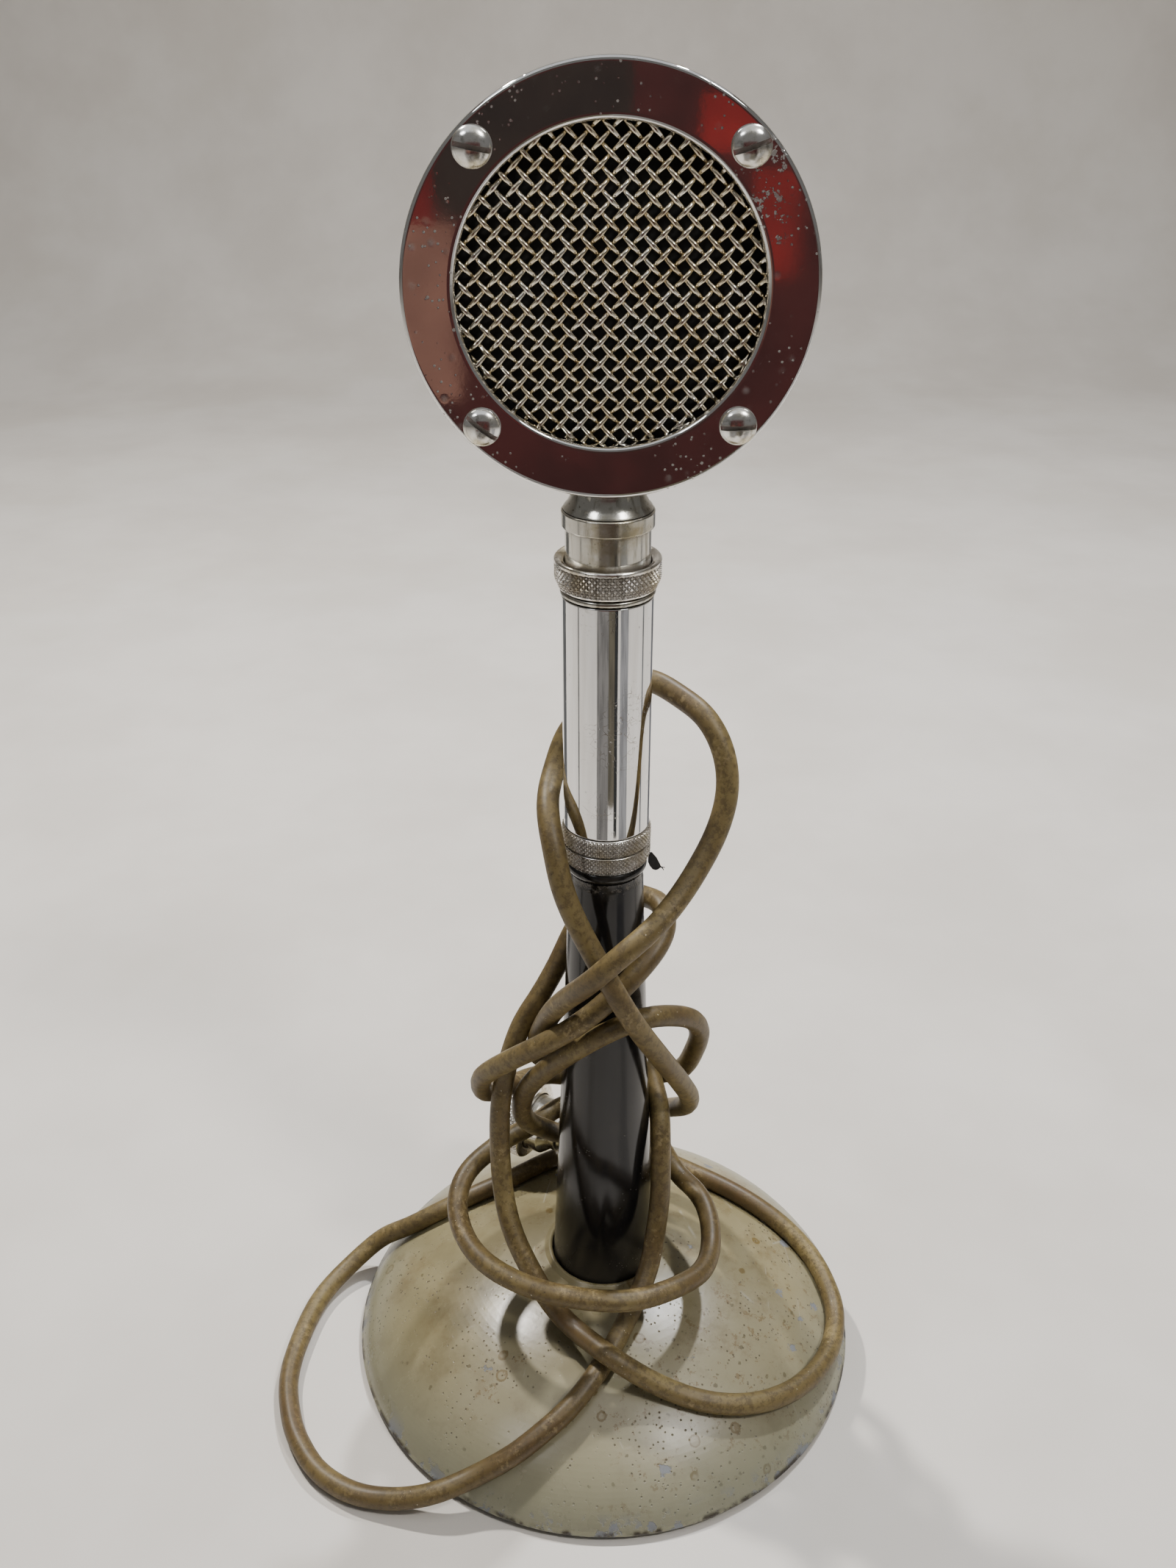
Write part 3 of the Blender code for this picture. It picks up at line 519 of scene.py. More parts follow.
def make_base_paint():
    """Grey-olive enamel with blue-grey chips, rust rings, specks, scratches and a worn foot."""
    s = Shader("base_enamel")
    cloud = s.noise(20.0, 6.0, 0.62)
    tones = (0.3, (0.188, 0.158, 0.080)), (0.5, (0.246, 0.214, 0.120)), (0.72, (0.300, 0.270, 0.175))
    colour = s.ramp(cloud, *tones)
    stained = s.step(s.noise(95.0, 6.0, 0.72), 0.47, 0.70, 0.0, 0.60)
    colour = s.mix(stained, colour, (0.150, 0.112, 0.052))
    # painted light: the front of the dome is mixed towards a lighter tone, standing in for the light falling
    # on it from the front
    colour = s.mix(s.step(s.part(1), -0.018, -0.066, 0.0, 0.45), colour, (0.300, 0.285, 0.205))
    # darker and browner towards the top, round the column
    colour = s.mix(s.step(s.part(2), 0.022, 0.042, 0.0, 0.40), colour, (0.110, 0.085, 0.042))
    wobble = s.both(s.math("SUBTRACT", s.noise(420.0, 4.0, 0.75), 0.5), 0.55)
    near = s.math("ADD", s.cells(95.0), wobble)
    chips = s.both(s.step(near, 0.15, 0.12), s.step(s.noise(24.0), 0.50, 0.54))
    crowd = s.step(s.noise(42.0, 4.0, 0.65), 0.45, 0.57)
    flecks = s.both(s.step(s.noise(330.0, 4.0, 0.75), 0.575, 0.64), s.step(s.noise(23.0, 3.0), 0.44, 0.58))
    specks = s.both(s.step(s.cells(640.0), 0.22, 0.12), crowd)
    ragged = s.step(s.math("ADD", s.cells(230.0), wobble), 0.14, 0.08)
    dots = s.both(ragged, s.step(s.noise(33.0), 0.43, 0.50))
    turned_place = s.stretched((1, 1, 1), (0.4, 0.2, 0.9))
    away = s.math("ADD", s.cells(75.0, place=turned_place), s.both(wobble, 0.16))
    rings = s.math("SUBTRACT", s.step(away, 0.135, 0.115), s.step(away, 0.100, 0.070, 0.0, 0.75))
    rings = s.both(rings, s.step(s.noise(27.0, place=turned_place), 0.44, 0.48, 0.0, 0.85))
    slanted = s.stretched((1.0, 0.35, 1.0), (0, 0, 0.7))
    scratch = s.step(s.cells(26.0, "DISTANCE_TO_EDGE", place=slanted), 0.006, 0.001)
    scratch = s.both(scratch, s.step(s.noise(85.0), 0.55, 0.62, 0.0, 0.6))
    colour = s.mix(s.both(flecks, 0.65), colour, (0.150, 0.094, 0.036))
    colour = s.mix(s.both(specks, 0.85), colour, (0.060, 0.042, 0.020))
    colour = s.mix(s.both(dots, 0.75), colour, (0.095, 0.075, 0.035))
    colour = s.mix(rings, colour, (0.130, 0.088, 0.026))
    colour = s.mix(scratch, colour, (0.34, 0.32, 0.25))
    # painted sheen: the steep lower side of the dome is mixed towards a lighter blue-grey, standing in for
    # the gloss reflection there
    painted_low_sheen = s.both(s.step(s.part(2), 0.020, 0.004), 0.45)
    colour = s.mix(painted_low_sheen, colour, (0.200, 0.215, 0.170))
    foot = s.step(s.part(2), 0.0080, 0.0022)
    worn = s.both(foot, s.step(s.noise(150.0, 5.0, 0.7), 0.53, 0.58))
    bare = s.either(chips, worn)
    colour = s.mix(s.both(bare, 0.9), colour, (0.170, 0.182, 0.205))
    # painted shade: a dark band along the bottom edge, where the dome meets the floor
    rim = s.both(s.band(2, 0.0024, 0.0012), s.step(s.noise(170.0, 4.0), 0.42, 0.55))
    colour = s.mix(rim, colour, (0.035, 0.028, 0.020))
    bumps = s.bump(s.noise(700.0, 3.0), 0.00006, 0.3)
    bumps = s.bump(s.noise(60.0, 3.0), 0.0003, 0.25, bumps)
    bumps = s.bump(s.math("SUBTRACT", 1.0, s.either(bare, specks)), 0.00015, 0.8, bumps)
    rough = s.math("ADD", s.step(cloud, 0.3, 0.8, 0.26, 0.38), s.both(s.either(specks, bare), 0.25))
    return s.put(Base_Color=colour, Roughness=rough, Normal=bumps)


def make_column_enamel():
    """Gloss black enamel with dust specks, and dust lying under the lip."""
    s = Shader("column_enamel")
    specks = s.both(s.step(s.cells(900.0), 0.16, 0.08), s.step(s.noise(90.0, 3.0), 0.52, 0.66, 0.0, 0.8))
    smear = s.step(s.noise(40.0, 5.0, 0.65, place=s.stretched((1, 1, 0.5))), 0.48, 0.78, 0.0, 0.35)
    low = s.step(s.part(2), 0.052, 0.030, 0.0, 0.20)
    under_lip = s.both(s.band(2, 0.1590, 0.0022), s.step(s.noise(900.0, 5.0, 0.7), 0.46, 0.66, 0.0, 0.7))
    dust = s.either(s.either(specks, smear), s.either(low, under_lip))
    colour = s.mix(dust, (0.006, 0.006, 0.007), (0.14, 0.125, 0.10))
    rough = s.math("ADD", s.step(s.noise(55.0), 0.3, 0.7, 0.10, 0.2), s.both(dust, 0.5))
    bumps = s.bump(s.noise(180.0, 3.0), 0.00008, 0.15)
    bumps = s.bump(dust, 0.00003, 0.4, bumps)
    return s.put(Base_Color=colour, Roughness=rough, Normal=bumps, Specular_IOR_Level=0.4)


def make_cord_rubber():
    """Bronze-brown aged rubber: olive and red-brown areas, dark grain, worn flecks and silvery scuffs."""
    s = Shader("cord_rubber")
    cloud = s.noise(30.0, 4.0, 0.6)
    tones = (0.32, (0.082, 0.050, 0.021)), (0.50, (0.130, 0.092, 0.033)), (0.68, (0.190, 0.143, 0.052))
    colour = s.ramp(cloud, *tones)
    grain = s.step(s.noise(480.0, 5.0, 0.75), 0.44, 0.60, 0.0, 0.65)
    colour = s.mix(grain, colour, (0.060, 0.040, 0.016))
    worn = s.step(s.noise(75.0, 3.0), 0.48, 0.66, 0.0, 0.60)
    rubbed = s.both(s.step(s.noise(700.0, 4.0, 0.7), 0.48, 0.66), worn)
    colour = s.mix(rubbed, colour, (0.30, 0.225, 0.105))
    flecks = s.both(s.step(s.noise(1100.0, 2.0, 0.6), 0.70, 0.75), s.step(s.noise(48.0, 3.0), 0.52, 0.62))
    colour = s.mix(s.both(flecks, 0.9), colour, (0.58, 0.52, 0.38))
    dark = s.both(s.step(s.cells(800.0), 0.16, 0.08), s.step(s.noise(70.0), 0.5, 0.6, 0.0, 0.8))
    colour = s.mix(dark, colour, (0.025, 0.016, 0.009))
    rough = s.math("ADD", s.step(cloud, 0.3, 0.7, 0.42, 0.54), s.both(rubbed, 0.15))
    bumps = s.bump(s.noise(90.0, 3.0), 0.0003, 0.22)
    bumps = s.bump(s.noise(1300.0, 4.0, 0.65), 0.00006, 0.5, bumps)
    bumps = s.bump(s.math("SUBTRACT", 1.0, dark), 0.00008, 0.6, bumps)
    return s.put(Base_Color=colour, Roughness=rough, Normal=bumps, Specular_IOR_Level=0.4)


def make_plastic(name, colour=(0.018, 0.016, 0.014)):
    """Black moulded insulator with a fine grain."""
    s = Shader(name)
    dust = s.step(s.noise(300.0, 4.0), 0.5, 0.75, 0.0, 0.35)
    shade = s.mix(dust, colour, (0.10, 0.085, 0.065))
    rough = s.step(dust, 0.0, 0.4, 0.35, 0.6)
    return s.put(Base_Color=shade, Roughness=rough, Normal=s.bump(s.noise(1600.0), 0.00003, 0.4))


def make_metal(name, tint, low=0.25, high=0.45):
    """Plain turned metal with faint machining lines."""
    s = Shader(name)
    film = s.noise(140.0, 4.0, 0.6)
    lines = s.noise(1500.0, 2.0, place=s.stretched((0.05, 0.05, 1.0)))
    colour = s.mix(s.step(film, 0.4, 0.7, 0.0, 0.6), tint, tuple(0.55 * c for c in tint))
    rough = s.step(film, 0.3, 0.7, low, high)
    return s.put(Base_Color=colour, Metallic=1.0, Roughness=rough, Normal=s.bump(lines, 0.00003, 0.3))


def make_cloth(name, colour, scale=1600.0):
    """Close black cloth or felt with a fibre grain."""
    s = Shader(name)
    weave = s.noise(scale, 3.0, 0.7)
    shade = s.mix(s.step(weave, 0.3, 0.7), colour, tuple(2.2 * c for c in colour))
    return s.put(Base_Color=shade, Roughness=0.95, Normal=s.bump(weave, 0.0001, 0.7), Sheen_Weight=0.25)


def make_tape():
    """Torn black fabric tape."""
    s = Shader("tape_black")
    weave = s.noise(2200.0, 2.0, place=s.stretched((1.0, 1.0, 0.4)))
    colour = s.mix(weave, (0.006, 0.006, 0.007), (0.03, 0.03, 0.032))
    return s.put(Base_Color=colour, Roughness=0.5, Normal=s.bump(weave, 0.0001, 0.6))


CHROME = make_chrome("ring_chrome")
TUBE_CHROME = make_chrome("tube_chrome", tint=(0.76, 0.76, 0.76), pits=0.3, haze=0.03, veining=0.9)
CASE_CHROME = make_chrome("case_chrome", pits=0.6)
NICKEL = make_nickel("aged_nickel", dirt_and_shade=0.9)
KNURLED = make_nickel("knurled_nickel", dirt_and_shade=0.8, tint=(0.92, 0.90, 0.86), reach=0.0007, closed=0.62)
SCREW_METAL = make_nickel("screw_nickel", dirt_and_shade=0.65, tint=(0.92, 0.92, 0.90))
WIRE = make_wire_metal()
PAINT = make_base_paint()
ENAMEL = make_column_enamel()
RUBBER = make_cord_rubber()
PLASTIC = make_plastic("black_insulator")
STEEL = make_metal("turned_steel", (0.42, 0.42, 0.41))
BRASS = make_metal("dull_brass", (0.62, 0.45, 0.18), 0.22, 0.4)
CLOTH = make_cloth("black_cloth", (0.004, 0.004, 0.004))
FELT = make_cloth("dark_felt", (0.020, 0.030, 0.020), 900.0)
TAPE = make_tape()


def dress(piece, material, body, *nodes, slot=None):
    """Give a piece its material and body, and hide the CAD nodes that it stands for."""
    piece.data.materials.clear()
    piece.data.materials.append(material)
    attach(piece, body)
    if nodes:
        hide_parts(*nodes)
    return piece


def repaint(node, material):
    """Give a carried-over CAD node a better material."""
    target = frame["nodes"][node]
    target.data.materials.clear()
    target.data.materials.append(material)


# ---- camera

CAMERA_PLACE = Vector((-7.94, -297.5, 346.2))
CAMERA_PITCH = 28.72
CAMERA_PAN = 0.672
CAMERA_ROLL = 0.062
CAMERA_VIEW = 57.99


def make_camera():
    """The camera at the height, distance and tilt of a close view from above the head."""
    data = bpy.data.cameras.new("camera")
    data.sensor_fit = "VERTICAL"
    data.sensor_height = 24.0
    data.lens = 12.0 / math.tan(math.radians(CAMERA_VIEW / 2))
    camera = link("camera", data)
    camera.location = CAMERA_PLACE * MM
    turn = Matrix.Rotation(math.radians(-CAMERA_PAN), 4, "Z")
    turn = turn @ Matrix.Rotation(math.radians(90.0 - CAMERA_PITCH), 4, "X")
    turn = turn @ Matrix.Rotation(math.radians(-CAMERA_ROLL), 4, "Z")
    camera.rotation_euler = turn.to_euler()
    bpy.context.scene.camera = camera


# ---- cord and connector


def make_cord():
    """The free cord, on the route that the CAD's cord takes."""
    cord = wire_curve("cord_lead", along_route(CORD_ROUTE), CORD_RADIUS)
    dress(cord, RUBBER, "stand", "cord", slot="cord_jacket")
    return cord


def connector_frame():
    """The connector's frame: local Z runs from its cord end to its mating face."""
    coupling = next(j for j in frame["joints"] if j["name"] == "connector_coupling_turn")
    axis = Vector(coupling["axis"]).normalized()
    middle = Vector(coupling["pos_m"]) / MM
    return to_axis(middle - axis * 22.1, axis)


def make_connector():
    """The clamp, shell and knurled coupling ring on the cord's end."""
    place = connector_frame()
    outline = eased([(3.1, 8.0), (5.5, 8.0), (5.5, 1.2), (4.6, 0.0), (3.1, 0.0)], 0.4)
    clamp = turned("connector_clamp_sleeve", outline, 96, matrix=place)
    corners = [(7.6, 25.0), (8.6, 25.0), (8.6, 13.0), (7.8, 12.0), (6.2, 10.2), (6.2, 8.3), (3.6, 8.3)]
    corners += [(3.6, 10.2), (7.6, 14.0)]
    shell = turned("connector_barrel", eased(corners, 0.3), 96, matrix=place)
    corners = [(8.9, 26.6), (11.2, 26.6), (12.0, 26.0), (12.0, 18.2), (11.2, 17.6), (8.9, 17.6)]
    outline = densified(eased(corners, 0.25), 18.2, 26.0)
    teeth = knurl(12.0, 18.0, 26.2, teeth=72, depth=0.35)
    ring = turned("connector_coupling_knurl", outline, 72 * 6, teeth, place)
    dress(clamp, NICKEL, "stand", "connector_clamp", slot="nickel")
    dress(shell, NICKEL, "stand", "connector_shell", slot="nickel")
    dress(ring, KNURLED, "connector_coupling", "coupling_ring", slot="nickel")
    return clamp, shell, ring


# ---- stand


def make_base():
    """The painted dome, its rim round the column, and its hollow underside."""
    steps = [17.2 + (BASE_RADIUS_NOMINAL - 17.2) * math.sin(math.pi / 2 * i / 40) for i in range(40)]
    outer = [(r, dome_height(r)) for r in steps if dome_height(r) > BASE_FOOT + 1.2]
    rim = eased([(14.9, 29.4), (14.9, 30.2), (15.4, 30.75), (16.0, 30.7), (16.8, 30.0)], 0.3, closed=False)
    corners = [outer[-1], (72.2, BASE_FOOT + 0.7), (71.6, BASE_FOOT), (68.5, BASE_FOOT)]
    foot = eased(corners, 0.5, closed=False)
    under = [(r, dome_height(r + 2.0) - 4.0) for r in (65.0, 58.0, 44.0, 30.0)]
    boss = [(22.0, 22.5), (20.0, 12.5), (3.4, 12.5), (3.4, 25.4), (14.9, 25.4)]
    base = turned("painted_base", rim + outer[:-1] + foot + under + boss, FINE, sharp=40.0)
    dress(base, PAINT, "stand", "base_casting", slot="cast_base")


def make_column():
    """The black tapered column with its groove and rounded lip."""
    heights = [157.5 - 127.0 * i / 48 for i in range(49)]
    lip = arc((8.5, 161.75), 1.55, 1.45, -1.45, 14)
    groove = eased([(9.25, 160.0), (9.2, 159.4), (9.2, 158.4)], 0.4, closed=False)
    outline = [(6.9, COLUMN_TOP)] + lip + groove
    outline += [(column_radius(z), z) for z in heights]
    outline += [(COLUMN_RADIUS, 27.0), (13.9, COLUMN_FOOT), (3.4, COLUMN_FOOT), (3.4, 32.0)]
    outline += [(column_radius(z) - 2.4, z) for z in (32.0, 75.0, 115.0, 148.0)] + [(6.9, 150.0)]
    column = turned("enamelled_column", outline, FINE, sharp=40.0)
    dress(column, ENAMEL, "stand", "column", slot="black_enamel")


def knurled_ring(name, body, node, outline, relief, teeth=KNURL_TEETH):
    """A ring with a diamond knurl cut into its outline's outer side."""
    ring = turned(name, outline, teeth * 10, relief, sharp=28.0)
    dress(ring, KNURLED, body, node, slot="nickel")


def make_swivel_rings():
    """The two knurled rings below the chrome tube."""
    radius, low, high = round_size("clamp_ring")
    corners = [(9.7, high), (10.25, high), (radius, high - 0.65)]
    corners += [(radius, low + 0.2), (radius - 0.2, low), (9.7, low)]
    outline = densified(eased(corners, 0.12), low, high, 0.085)
    teeth = knurl(radius, low - 0.1, high - 0.2)
    knurled_ring("clamp_ring_knurl", "swivel_clamp", "clamp_ring", outline, teeth)
    radius, low, high = round_size("jam_ring")
    corners = [(9.7, high), (radius - 0.15, high), (radius, high - 0.2)]
    corners += [(radius, low + 1.3), (10.3, low), (9.7, low)]
    outline = densified(eased(corners, 0.12), low, high, 0.085)
    teeth = knurl(radius, low + 0.05, high - 0.12, fade=0.15)
    knurled_ring("jam_ring_knurl", "stand", "jam_ring", outline, teeth)


def make_tube():
    """The chrome tube and the beaded ferrule on its top."""
    inner = TUBE_RADIUS - 1.2
    corners = [(inner, TUBE_TOP), (TUBE_RADIUS, TUBE_TOP), (TUBE_RADIUS, TUBE_FOOT), (inner, TUBE_FOOT)]
    tube = turned("chrome_tube", eased(corners, 0.25), FINE)
    dress(tube, TUBE_CHROME, "upper_stem", "upper_tube", slot="chrome")
    bead = arc((10.1, 232.8), 0.7, math.pi / 2, -math.pi / 2, 12)
    outline = [(9.9, 238.3), (10.1, 238.5), (10.3, 238.5), (10.4, 238.3)] + bead
    outline += [(8.9, 232.1), (8.9, 222.0), (8.2, 222.0), (8.2, 235.2), (9.9, 235.2)]
    ferrule = turned("beaded_ferrule", outline, FINE)
    dress(ferrule, NICKEL, "upper_stem", "tube_ferrule", slot="nickel")


def make_tape_flap():
    """The torn end of black tape that sticks out beside the groove, with two loose threads."""
    low, high = node_box("tape_tab")
    outline = [(0.0, 1.0), (0.22, 1.02), (0.52, 0.72), (0.70, 0.42), (0.80, 0.24), (0.72, 0.16), (0.62, 0.06)]
    outline += [(0.44, 0.0), (0.28, 0.04), (0.12, 0.22), (0.0, 0.45)]
    rows = []
    for side in (-1.0, 1.0):
        for across, up in outline:
            bow = 0.9 * across * across + 0.14 * side
            x, z = low.x + across * (high.x - low.x), low.z + up * (high.z - low.z)
            rows.append((x, (low.y + high.y) / 2 - bow, z))
    count = len(outline)
    faces = [tuple(range(count)), tuple(reversed(range(count, 2 * count)))]
    faces += [(i, i + count, (i + 1) % count + count, (i + 1) % count) for i in range(count)]
    flap = finish_mesh("torn_tape_end", rows, faces, 40.0)
    dress(flap, TAPE, "stand", "tape_tab", slot="tape")
    tip = Vector(rows[4])
    threads = {
        "tape_thread_1": ((0.5, 0.0, -0.3), (0.9, -0.2, -0.25)),
        "tape_thread_2": ((0.4, 0.1, -0.6), (0.6, 0.0, -1.1)),
    }
    for name, ends in threads.items():
        thread = wire_curve(name, [tip - Vector((0.4, 0, 0)), *(tip + Vector(end) for end in ends)], 0.12, 2)
        dress(thread, TAPE, "stand", slot="tape")


def make_lock_ring():
    """The knurled ring round the ferrule, with its smooth dull top that closes in on the spigot."""
    radius, low, high = round_size("lock_ring")
    corners = [(9.8, 239.0), (9.8, 239.7), (11.2, high), (11.7, high), (radius, high - 0.35)]
    corners += [(radius, high - 1.0), (radius, 236.0), (11.05, low), (10.75, low), (10.75, 238.9)]
    outline = densified(eased(corners, 0.15), low, high - 0.9, 0.09)
    teeth = knurl(radius, low + 0.4, high - 0.9, teeth=58, repeat=1.35, depth=0.55)
    knurled_ring("lock_ring_knurl", "head_lock", "lock_ring", outline, teeth, 58)


# ---- head


def make_plug_collar():
    """The spigot and bright collar under the neck."""
    corners = [(4.4, 251.4), (10.0, 251.4), (10.3, 251.1), (10.3, 247.9), (10.1, 247.6), (9.5, 247.5)]
    corners += [(9.5, 235.9), (9.2, 235.5), (8.0, 235.5), (8.0, 246.4), (4.4, 246.4)]
    collar = turned("plug_spigot", eased(corners, 0.12), FINE)
    dress(collar, NICKEL, "microphone_head", "plug_collar", slot="nickel")


def make_neck():
    """The cone between the collar and the case, cut to the case's curve."""
    segments = FINE
    angles = np.arange(segments) * 2 * math.pi / segments
    profile = [(9.9, 251.6), (9.7, 252.0), (9.0, 252.8), (8.3, 254.2), (7.8, 256.2), (7.5, 258.2)]
    case_radius = RING_OUTER + 0.35

    def top(radius, angle):
        """Height of the case's underside over a point of the cone."""
        x, y = radius * np.cos(angle), radius * np.sin(angle)
        reach = np.where(y < -3.2, case_radius, 38.85)
        return HEAD_Z - np.sqrt(reach**2 - x**2)

    rows = []
    for r, z in profile:
        rows.append(np.stack([r * np.cos(angles), r * np.sin(angles), np.minimum(z, top(r, angles))], -1))
    for radius in (7.5, 4.4):
        rows.append(np.stack([radius * np.cos(angles), radius * np.sin(angles), top(radius, angles)], -1))
    rows.append(np.stack([4.4 * np.cos(angles), 4.4 * np.sin(angles), np.full(segments, 251.7)], -1))
    faces = []
    for i in range(len(rows)):
        here, above = i * segments, ((i + 1) % len(rows)) * segments
        for k in range(segments):
            after = (k + 1) % segments
            faces.append((here + k, here + after, above + after, above + k))
    neck = finish_mesh("neck_cone", np.concatenate(rows), faces, 40.0)
    dress(neck, NICKEL, "microphone_head", "neck", slot="nickel")


def head_frame():
    """A frame at the head's centre whose local Z runs back along +Y."""
    return to_axis((0.0, 0.0, HEAD_Z), (0.0, 1.0, 0.0))


def make_front_ring():
    """The mirror-bright clamp ring with its softly rounded edges."""
    corners = [(RING_MOUTH, RING_BACK), (RING_OUTER, RING_BACK, 0.2), (RING_OUTER, RING_FRONT, 0.9)]
    corners += [(RING_MOUTH, RING_FRONT, 1.3)]
    ring = turned("bright_front_ring", eased(corners, 0.2, 8), 256, matrix=head_frame())
    dress(ring, CHROME, "microphone_head", "front_ring", slot="chrome")


def make_case():
    """The pan-shaped rear case with its coin-edged flange."""
    back = CASE_BACK
    shoulder = arc((28.5, back - 10.0), 10.0, math.pi / 2, 0, 16)
    outline = [(0.4, back), (14.0, back)] + shoulder + [(38.5, -3.2)]
    outline += eased([(38.5, -3.5), (RING_OUTER, -3.5), (RING_OUTER, -7.0), (33.9, -7.0)], 0.15, closed=False)
    outline += [(33.9, -3.9), (36.5, -3.2), (36.5, 2.5), (34.2, 8.2), (28.5, 10.5), (0.4, 10.5)]
    outline = densified(outline, -6.8, -3.6, 0.6)

    def coin_edge(angle, r, z):
        """How far a point of the flange's rim moves outwards."""
        edge = np.clip((r - 40.9) / 0.15, 0.0, 1.0) * np.clip((z + 6.7) / 0.2, 0.0, 1.0)
        return -0.28 * edge * (1.0 - wave(angle * 300 / (2 * math.pi)))

    case = turned("rear_pan", outline, 300 * 4, coin_edge, head_frame())
    dress(case, CASE_CHROME, "microphone_head", "rear_case", slot="chrome")


def make_ring_screws():
    """Four slotted round-head screws, each turned its own way."""
    turns = {"ring_screw_1": 17.0, "ring_screw_2": -11.0, "ring_screw_3": -37.0, "ring_screw_4": 2.0}
    for node, turn in turns.items():
        low, high = node_box(node)
        centre = (low + high) / 2
        spin = Matrix.Rotation(math.radians(turn), 4, "Z")
        place = to_axis((centre.x, RING_FRONT - 0.05, centre.z), (0.0, -1.0, 0.0)) @ spin
        dome = [(3.85 * math.sin(a), 0.35 + 2.05 * math.cos(a)) for a in np.linspace(0.02, math.pi / 2, 18)]
        outline = dome + [(3.85, 0.05), (3.7, 0.0), (1.9, 0.0), (1.9, -5.4), (1.5, -5.9), (0.05, -5.9)]
        screw = turned(f"slotted_{node}", outline, 96, matrix=place, closed=False)
        cut_slot(screw, place)
        dress(screw, SCREW_METAL, "microphone_head", node, slot="nickel")


def cut_slot(screw, place):
    """Cut a screwdriver slot across a screw's head."""
    mesh = bpy.data.meshes.new("slot")
    half = Vector((4.6, 0.5, 1.0)) * MM
    corners = [(x * half.x, y * half.y, z * half.z) for x in (-1, 1) for y in (-1, 1) for z in (-1, 1)]
    sides = [(0, 1, 3, 2), (4, 6, 7, 5), (0, 4, 5, 1), (2, 3, 7, 6), (0, 2, 6, 4), (1, 5, 7, 3)]
    mesh.from_pydata(corners, [], sides)
    cutter = link("slot", mesh, place @ Matrix.Translation((0.0, 0.0, 2.0 * MM)))
    boolean = screw.modifiers.new("slot", "BOOLEAN")
    boolean.operation = "DIFFERENCE"
    boolean.object = cutter
    bpy.context.view_layer.update()
    cut = bpy.data.meshes.new_from_object(screw.evaluated_get(bpy.context.evaluated_depsgraph_get()))
    screw.modifiers.clear()
    screw.data = cut
    cut.set_sharp_from_angle(angle=math.radians(35.0))
    bpy.data.objects.remove(cutter)


def make_grille():
    """The woven wire grille: two sets of crimped wires that pass over and under each other."""
    reach = 33.4
    crimp = WIRE_RADIUS
    middle = (node_box("wire_grille")[0].y + node_box("wire_grille")[1].y) / 2
    count = int(reach / WIRE_PITCH)
    paths = []
    for direction in (1.0, -1.0):
        run = Vector((math.sqrt(0.5), 0.0, direction * math.sqrt(0.5)))
        across = Vector((math.sqrt(0.5), 0.0, -direction * math.sqrt(0.5)))
        for k in range(-count, count + 1):
            offset = k * WIRE_PITCH
            half = math.sqrt(reach**2 - offset**2)
            stops = np.arange(-half, half, WIRE_PITCH / 7)
            flip = direction * (-1) ** k
            path = []
            for along in stops:
                lift = flip * crimp * math.cos(math.pi * along / WIRE_PITCH)
                point = run * along + across * offset
                path.append((point.x, middle + lift - grille_crown(point), HEAD_Z + point.z))
            paths.append(path)
    grille = tube_mesh("woven_grille", paths, WIRE_RADIUS, 10)
    dress(grille, WIRE, "microphone_head", "wire_grille", slot="mesh_wire")


def grille_crown(point):
    """How far the woven wire bows forward at a point, millimetres."""
    share = min(point.length / RING_MOUTH, 1.0)
    return 0.9 * (1.0 - share**2)


def make_hidden_pieces():
    """Better materials for the CAD pieces that show only at poses or from below."""
    looks = {
        "grille_cloth": CLOTH, "capsule_gasket": FELT, "base_pad": FELT, "diaphragm": STEEL,
        "capsule_can": BRASS, "capsule_retainer": STEEL, "tube_bush": STEEL, "base_bolt": STEEL,
        "base_washer": STEEL, "base_nut": STEEL, "plug_insulator": PLASTIC, "socket_insulator": PLASTIC,
        "inner_cable": PLASTIC, "cable_grommet": PLASTIC, "connector_insert": PLASTIC,
    }
    for name in frame["nodes"]:
        if name.startswith(("capsule_terminal", "plug_pin", "socket_contact", "connector_contact")):
            looks[name] = BRASS
        if name.startswith("head_lead"):
            looks[name] = PLASTIC
    for name, material in looks.items():
        repaint(name, material)


# ---- stage and light


def make_stage():
    """A wide pale cloth: the floor, which curves up behind the stand."""
    s = Shader("stage_cloth")
    cloud = s.noise(7.0, 4.0, 0.6)
    colour = s.mix(s.step(cloud, 0.3, 0.7), (0.60, 0.565, 0.52), (0.68, 0.65, 0.61))
    weave = s.noise(1400.0, 2.0)
    s.put(Base_Color=colour, Roughness=0.85, Normal=s.bump(weave, 0.0001, 0.25))
    side, front, back, bend, rise = 5.0, -40.0, 1.15, 0.35, 2.4
    curve = arc((back, bend), bend, -math.pi / 2, 0.0, 16)
    profile = [(front, 0.0), *curve, (back + bend, rise)]
    points = [(x / MM, y / MM, z / MM) for y, z in profile for x in (-side, side)]
    faces = [(2 * i, 2 * i + 1, 2 * i + 3, 2 * i + 2) for i in range(len(profile) - 1)]
    floor = finish_mesh("stage_floor", points, faces, 80.0)
    floor.data.materials.append(s.material)


def glossy_only(card):
    """Let a card show in mirror-bright metal alone."""
    card.visible_camera = False
    card.visible_shadow = False
    card.visible_diffuse = False


def card_material(name, colour, glow):
    """A softly blotched tone for a card."""
    s = Shader(name)
    blotch = s.step(s.noise(14.0, 4.0, 0.6), 0.3, 0.75, 0.55, 1.25)
    shade = s.mix(1.0, colour, s.mix(blotch, (0.0, 0.0, 0.0), (1.0, 1.0, 1.0)), "MULTIPLY")
    return s.put(Base_Color=(0.0, 0.0, 0.0, 1.0), Emission_Color=shade, Emission_Strength=glow, Roughness=1.0)


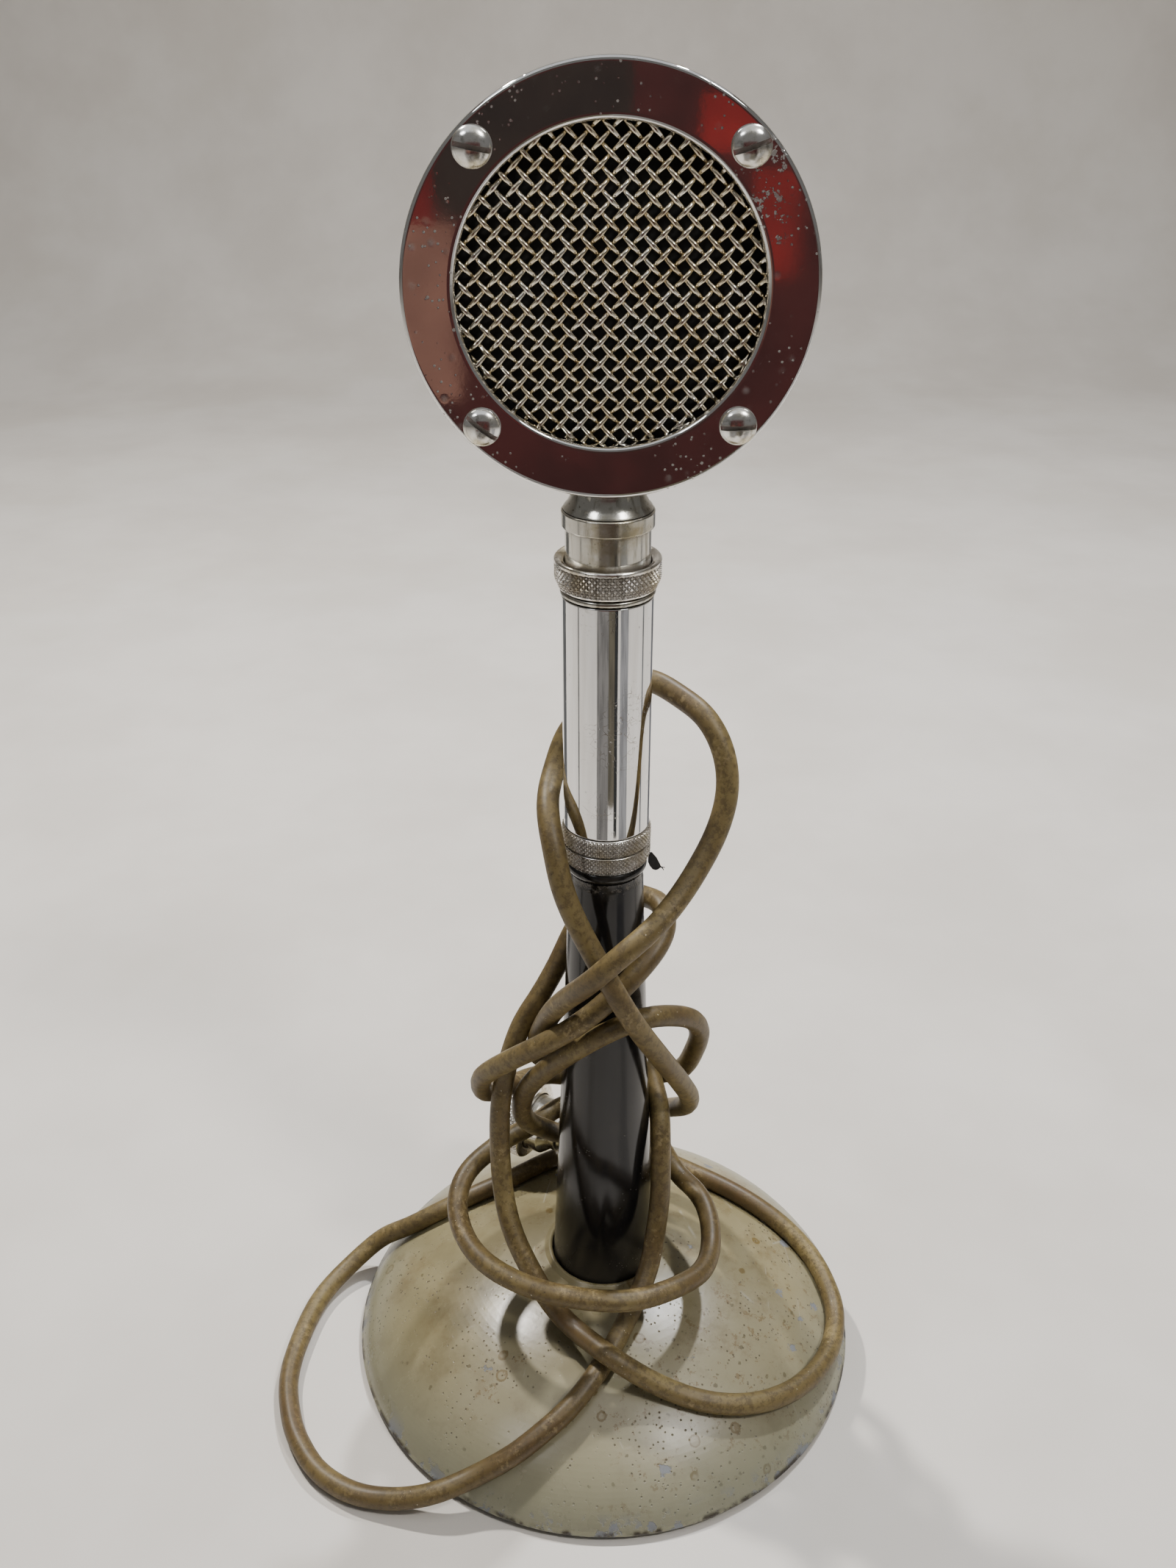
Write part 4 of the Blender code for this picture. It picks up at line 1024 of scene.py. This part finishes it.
def card(name, corners, colour, glow, centre=(0.0, 0.0, 0.0)):
    """A flat card on four corners."""
    mesh = bpy.data.meshes.new(name)
    mesh.from_pydata(corners, [], [(0, 1, 2, 3)])
    mesh.materials.append(card_material(name, colour, glow))
    glossy_only(link(name, mesh, Matrix.Translation(centre)))


def upright_card(name, centre, size, colour):
    """A card standing in front of the head."""
    x, z = size[0] / 2, size[1] / 2
    card(name, [(-x, 0, -z), (x, 0, -z), (x, 0, z), (-x, 0, z)], colour, 1.0, centre)


def sector_card(name, start, end, near, colour, far=1.1):
    """A card lying round the stand between two bearings, in degrees from the front towards +X."""
    corners = []
    for radius, bearings in ((near, (start, end)), (far, (end, start))):
        for bearing in bearings:
            turn = math.radians(bearing)
            corners.append((radius * math.sin(turn), -radius * math.cos(turn), 0.001))
    card(name, corners, colour, 0.8)


def level_card(name, centre, size, glow):
    """A bright card hanging level over the stand."""
    x, y = size[0] / 2, size[1] / 2
    card(name, [(-x, -y, 0), (x, -y, 0), (x, y, 0), (-x, y, 0)], (0.85, 0.86, 0.88), glow, centre)


def make_cards():
    """Cards in front of the head, round it on the floor and over it, for the reflections in bright metal."""
    upright = [
        ("card_maroon", 0.0, 0.252, 0.52, 0.374, (0.058, 0.010, 0.009)),
        ("card_tan", -0.1425, 0.187, 0.135, 0.101, (0.25, 0.115, 0.082)),
        ("card_brown", -0.029, 0.283, 0.114, 0.086, (0.028, 0.016, 0.012)),
        ("card_scarlet_edge", -0.100, 0.258, 0.028, 0.041, (0.14, 0.010, 0.010)),
        ("card_scarlet_high", 0.083, 0.291, 0.034, 0.030, (0.26, 0.014, 0.012)),
        ("card_scarlet_low", 0.110, 0.238, 0.026, 0.057, (0.24, 0.014, 0.012)),
    ]
    for order, (name, x, z, wide, high, colour) in enumerate(upright):
        upright_card(name, (x, -0.60 + 0.002 * order, z), (wide, high), colour)
    sectors = [
        ("card_floor_grey", -27.0, 2.0, 0.24, (0.30, 0.28, 0.26)),
        ("card_floor_olive", 2.0, 17.0, 0.33, (0.17, 0.145, 0.095)),
        ("card_floor_dark", 17.0, 25.0, 0.30, (0.02, 0.02, 0.02)),
        ("card_floor_right", 31.0, 52.0, 0.20, (0.46, 0.45, 0.45)),
        ("card_floor_line", 96.0, 101.0, 0.20, (0.25, 0.25, 0.26)),
        ("card_floor_edge", 140.0, 160.0, 0.20, (0.22, 0.22, 0.24)),
        ("card_floor_left", -80.0, -76.0, 0.20, (0.25, 0.24, 0.23)),
        ("card_floor_far_left", -150.0, -128.0, 0.20, (0.16, 0.16, 0.16)),
    ]
    for name, start, end, near, colour in sectors:
        sector_card(name, start, end, near, colour)
    level_card("card_ceiling", (0.0, 0.1, 1.4), (1.8, 2.0), 0.9)
    for name, x in (("card_window_left", -0.55), ("card_window_right", 0.55)):
        level_card(name, (x, -0.50, 1.0), (0.26, 0.26), 13.0)


def lamp(name, place, size, power, colour=(1.0, 1.0, 1.0)):
    """A square lamp aimed at the middle of the stand."""
    data = bpy.data.lights.new(name, "AREA")
    data.size = size
    data.energy = power
    data.color = colour
    aim = (Vector((0.0, 0.0, 0.10)) - Vector(place)).to_track_quat("-Z", "Y").to_matrix().to_4x4()
    link(name, data, Matrix.Translation(place) @ aim)


def make_light():
    """Small lamps behind and in front, a broad weak one overhead, and a dim surround."""
    lamp("lamp_back_left", (-0.45, 0.42, 1.05), 0.05, 13.0, (1.0, 0.96, 0.90))
    lamp("lamp_back_right", (0.34, 0.46, 1.10), 0.05, 10.5, (0.97, 0.98, 1.0))
    lamp("lamp_front_right", (0.50, -0.45, 1.05), 0.12, 5.5, (1.0, 0.97, 0.93))
    lamp("lamp_backdrop", (0.0, -0.30, 1.9), 0.8, 5.0)
    world = bpy.data.worlds.new("surround")
    bpy.context.scene.world = world
    world.use_nodes = True
    background = world.node_tree.nodes["Background"]
    background.inputs["Color"].default_value = (0.95, 0.92, 0.88, 1.0)
    background.inputs["Strength"].default_value = 0.16


# ---- build

make_camera()
cord = make_cord()
connector = make_connector()
make_base()
make_column()
make_swivel_rings()
make_tube()
make_lock_ring()
make_tape_flap()
make_plug_collar()
make_neck()
make_front_ring()
make_case()
make_ring_screws()
make_grille()
make_hidden_pieces()
make_stage()
make_cards()
make_light()
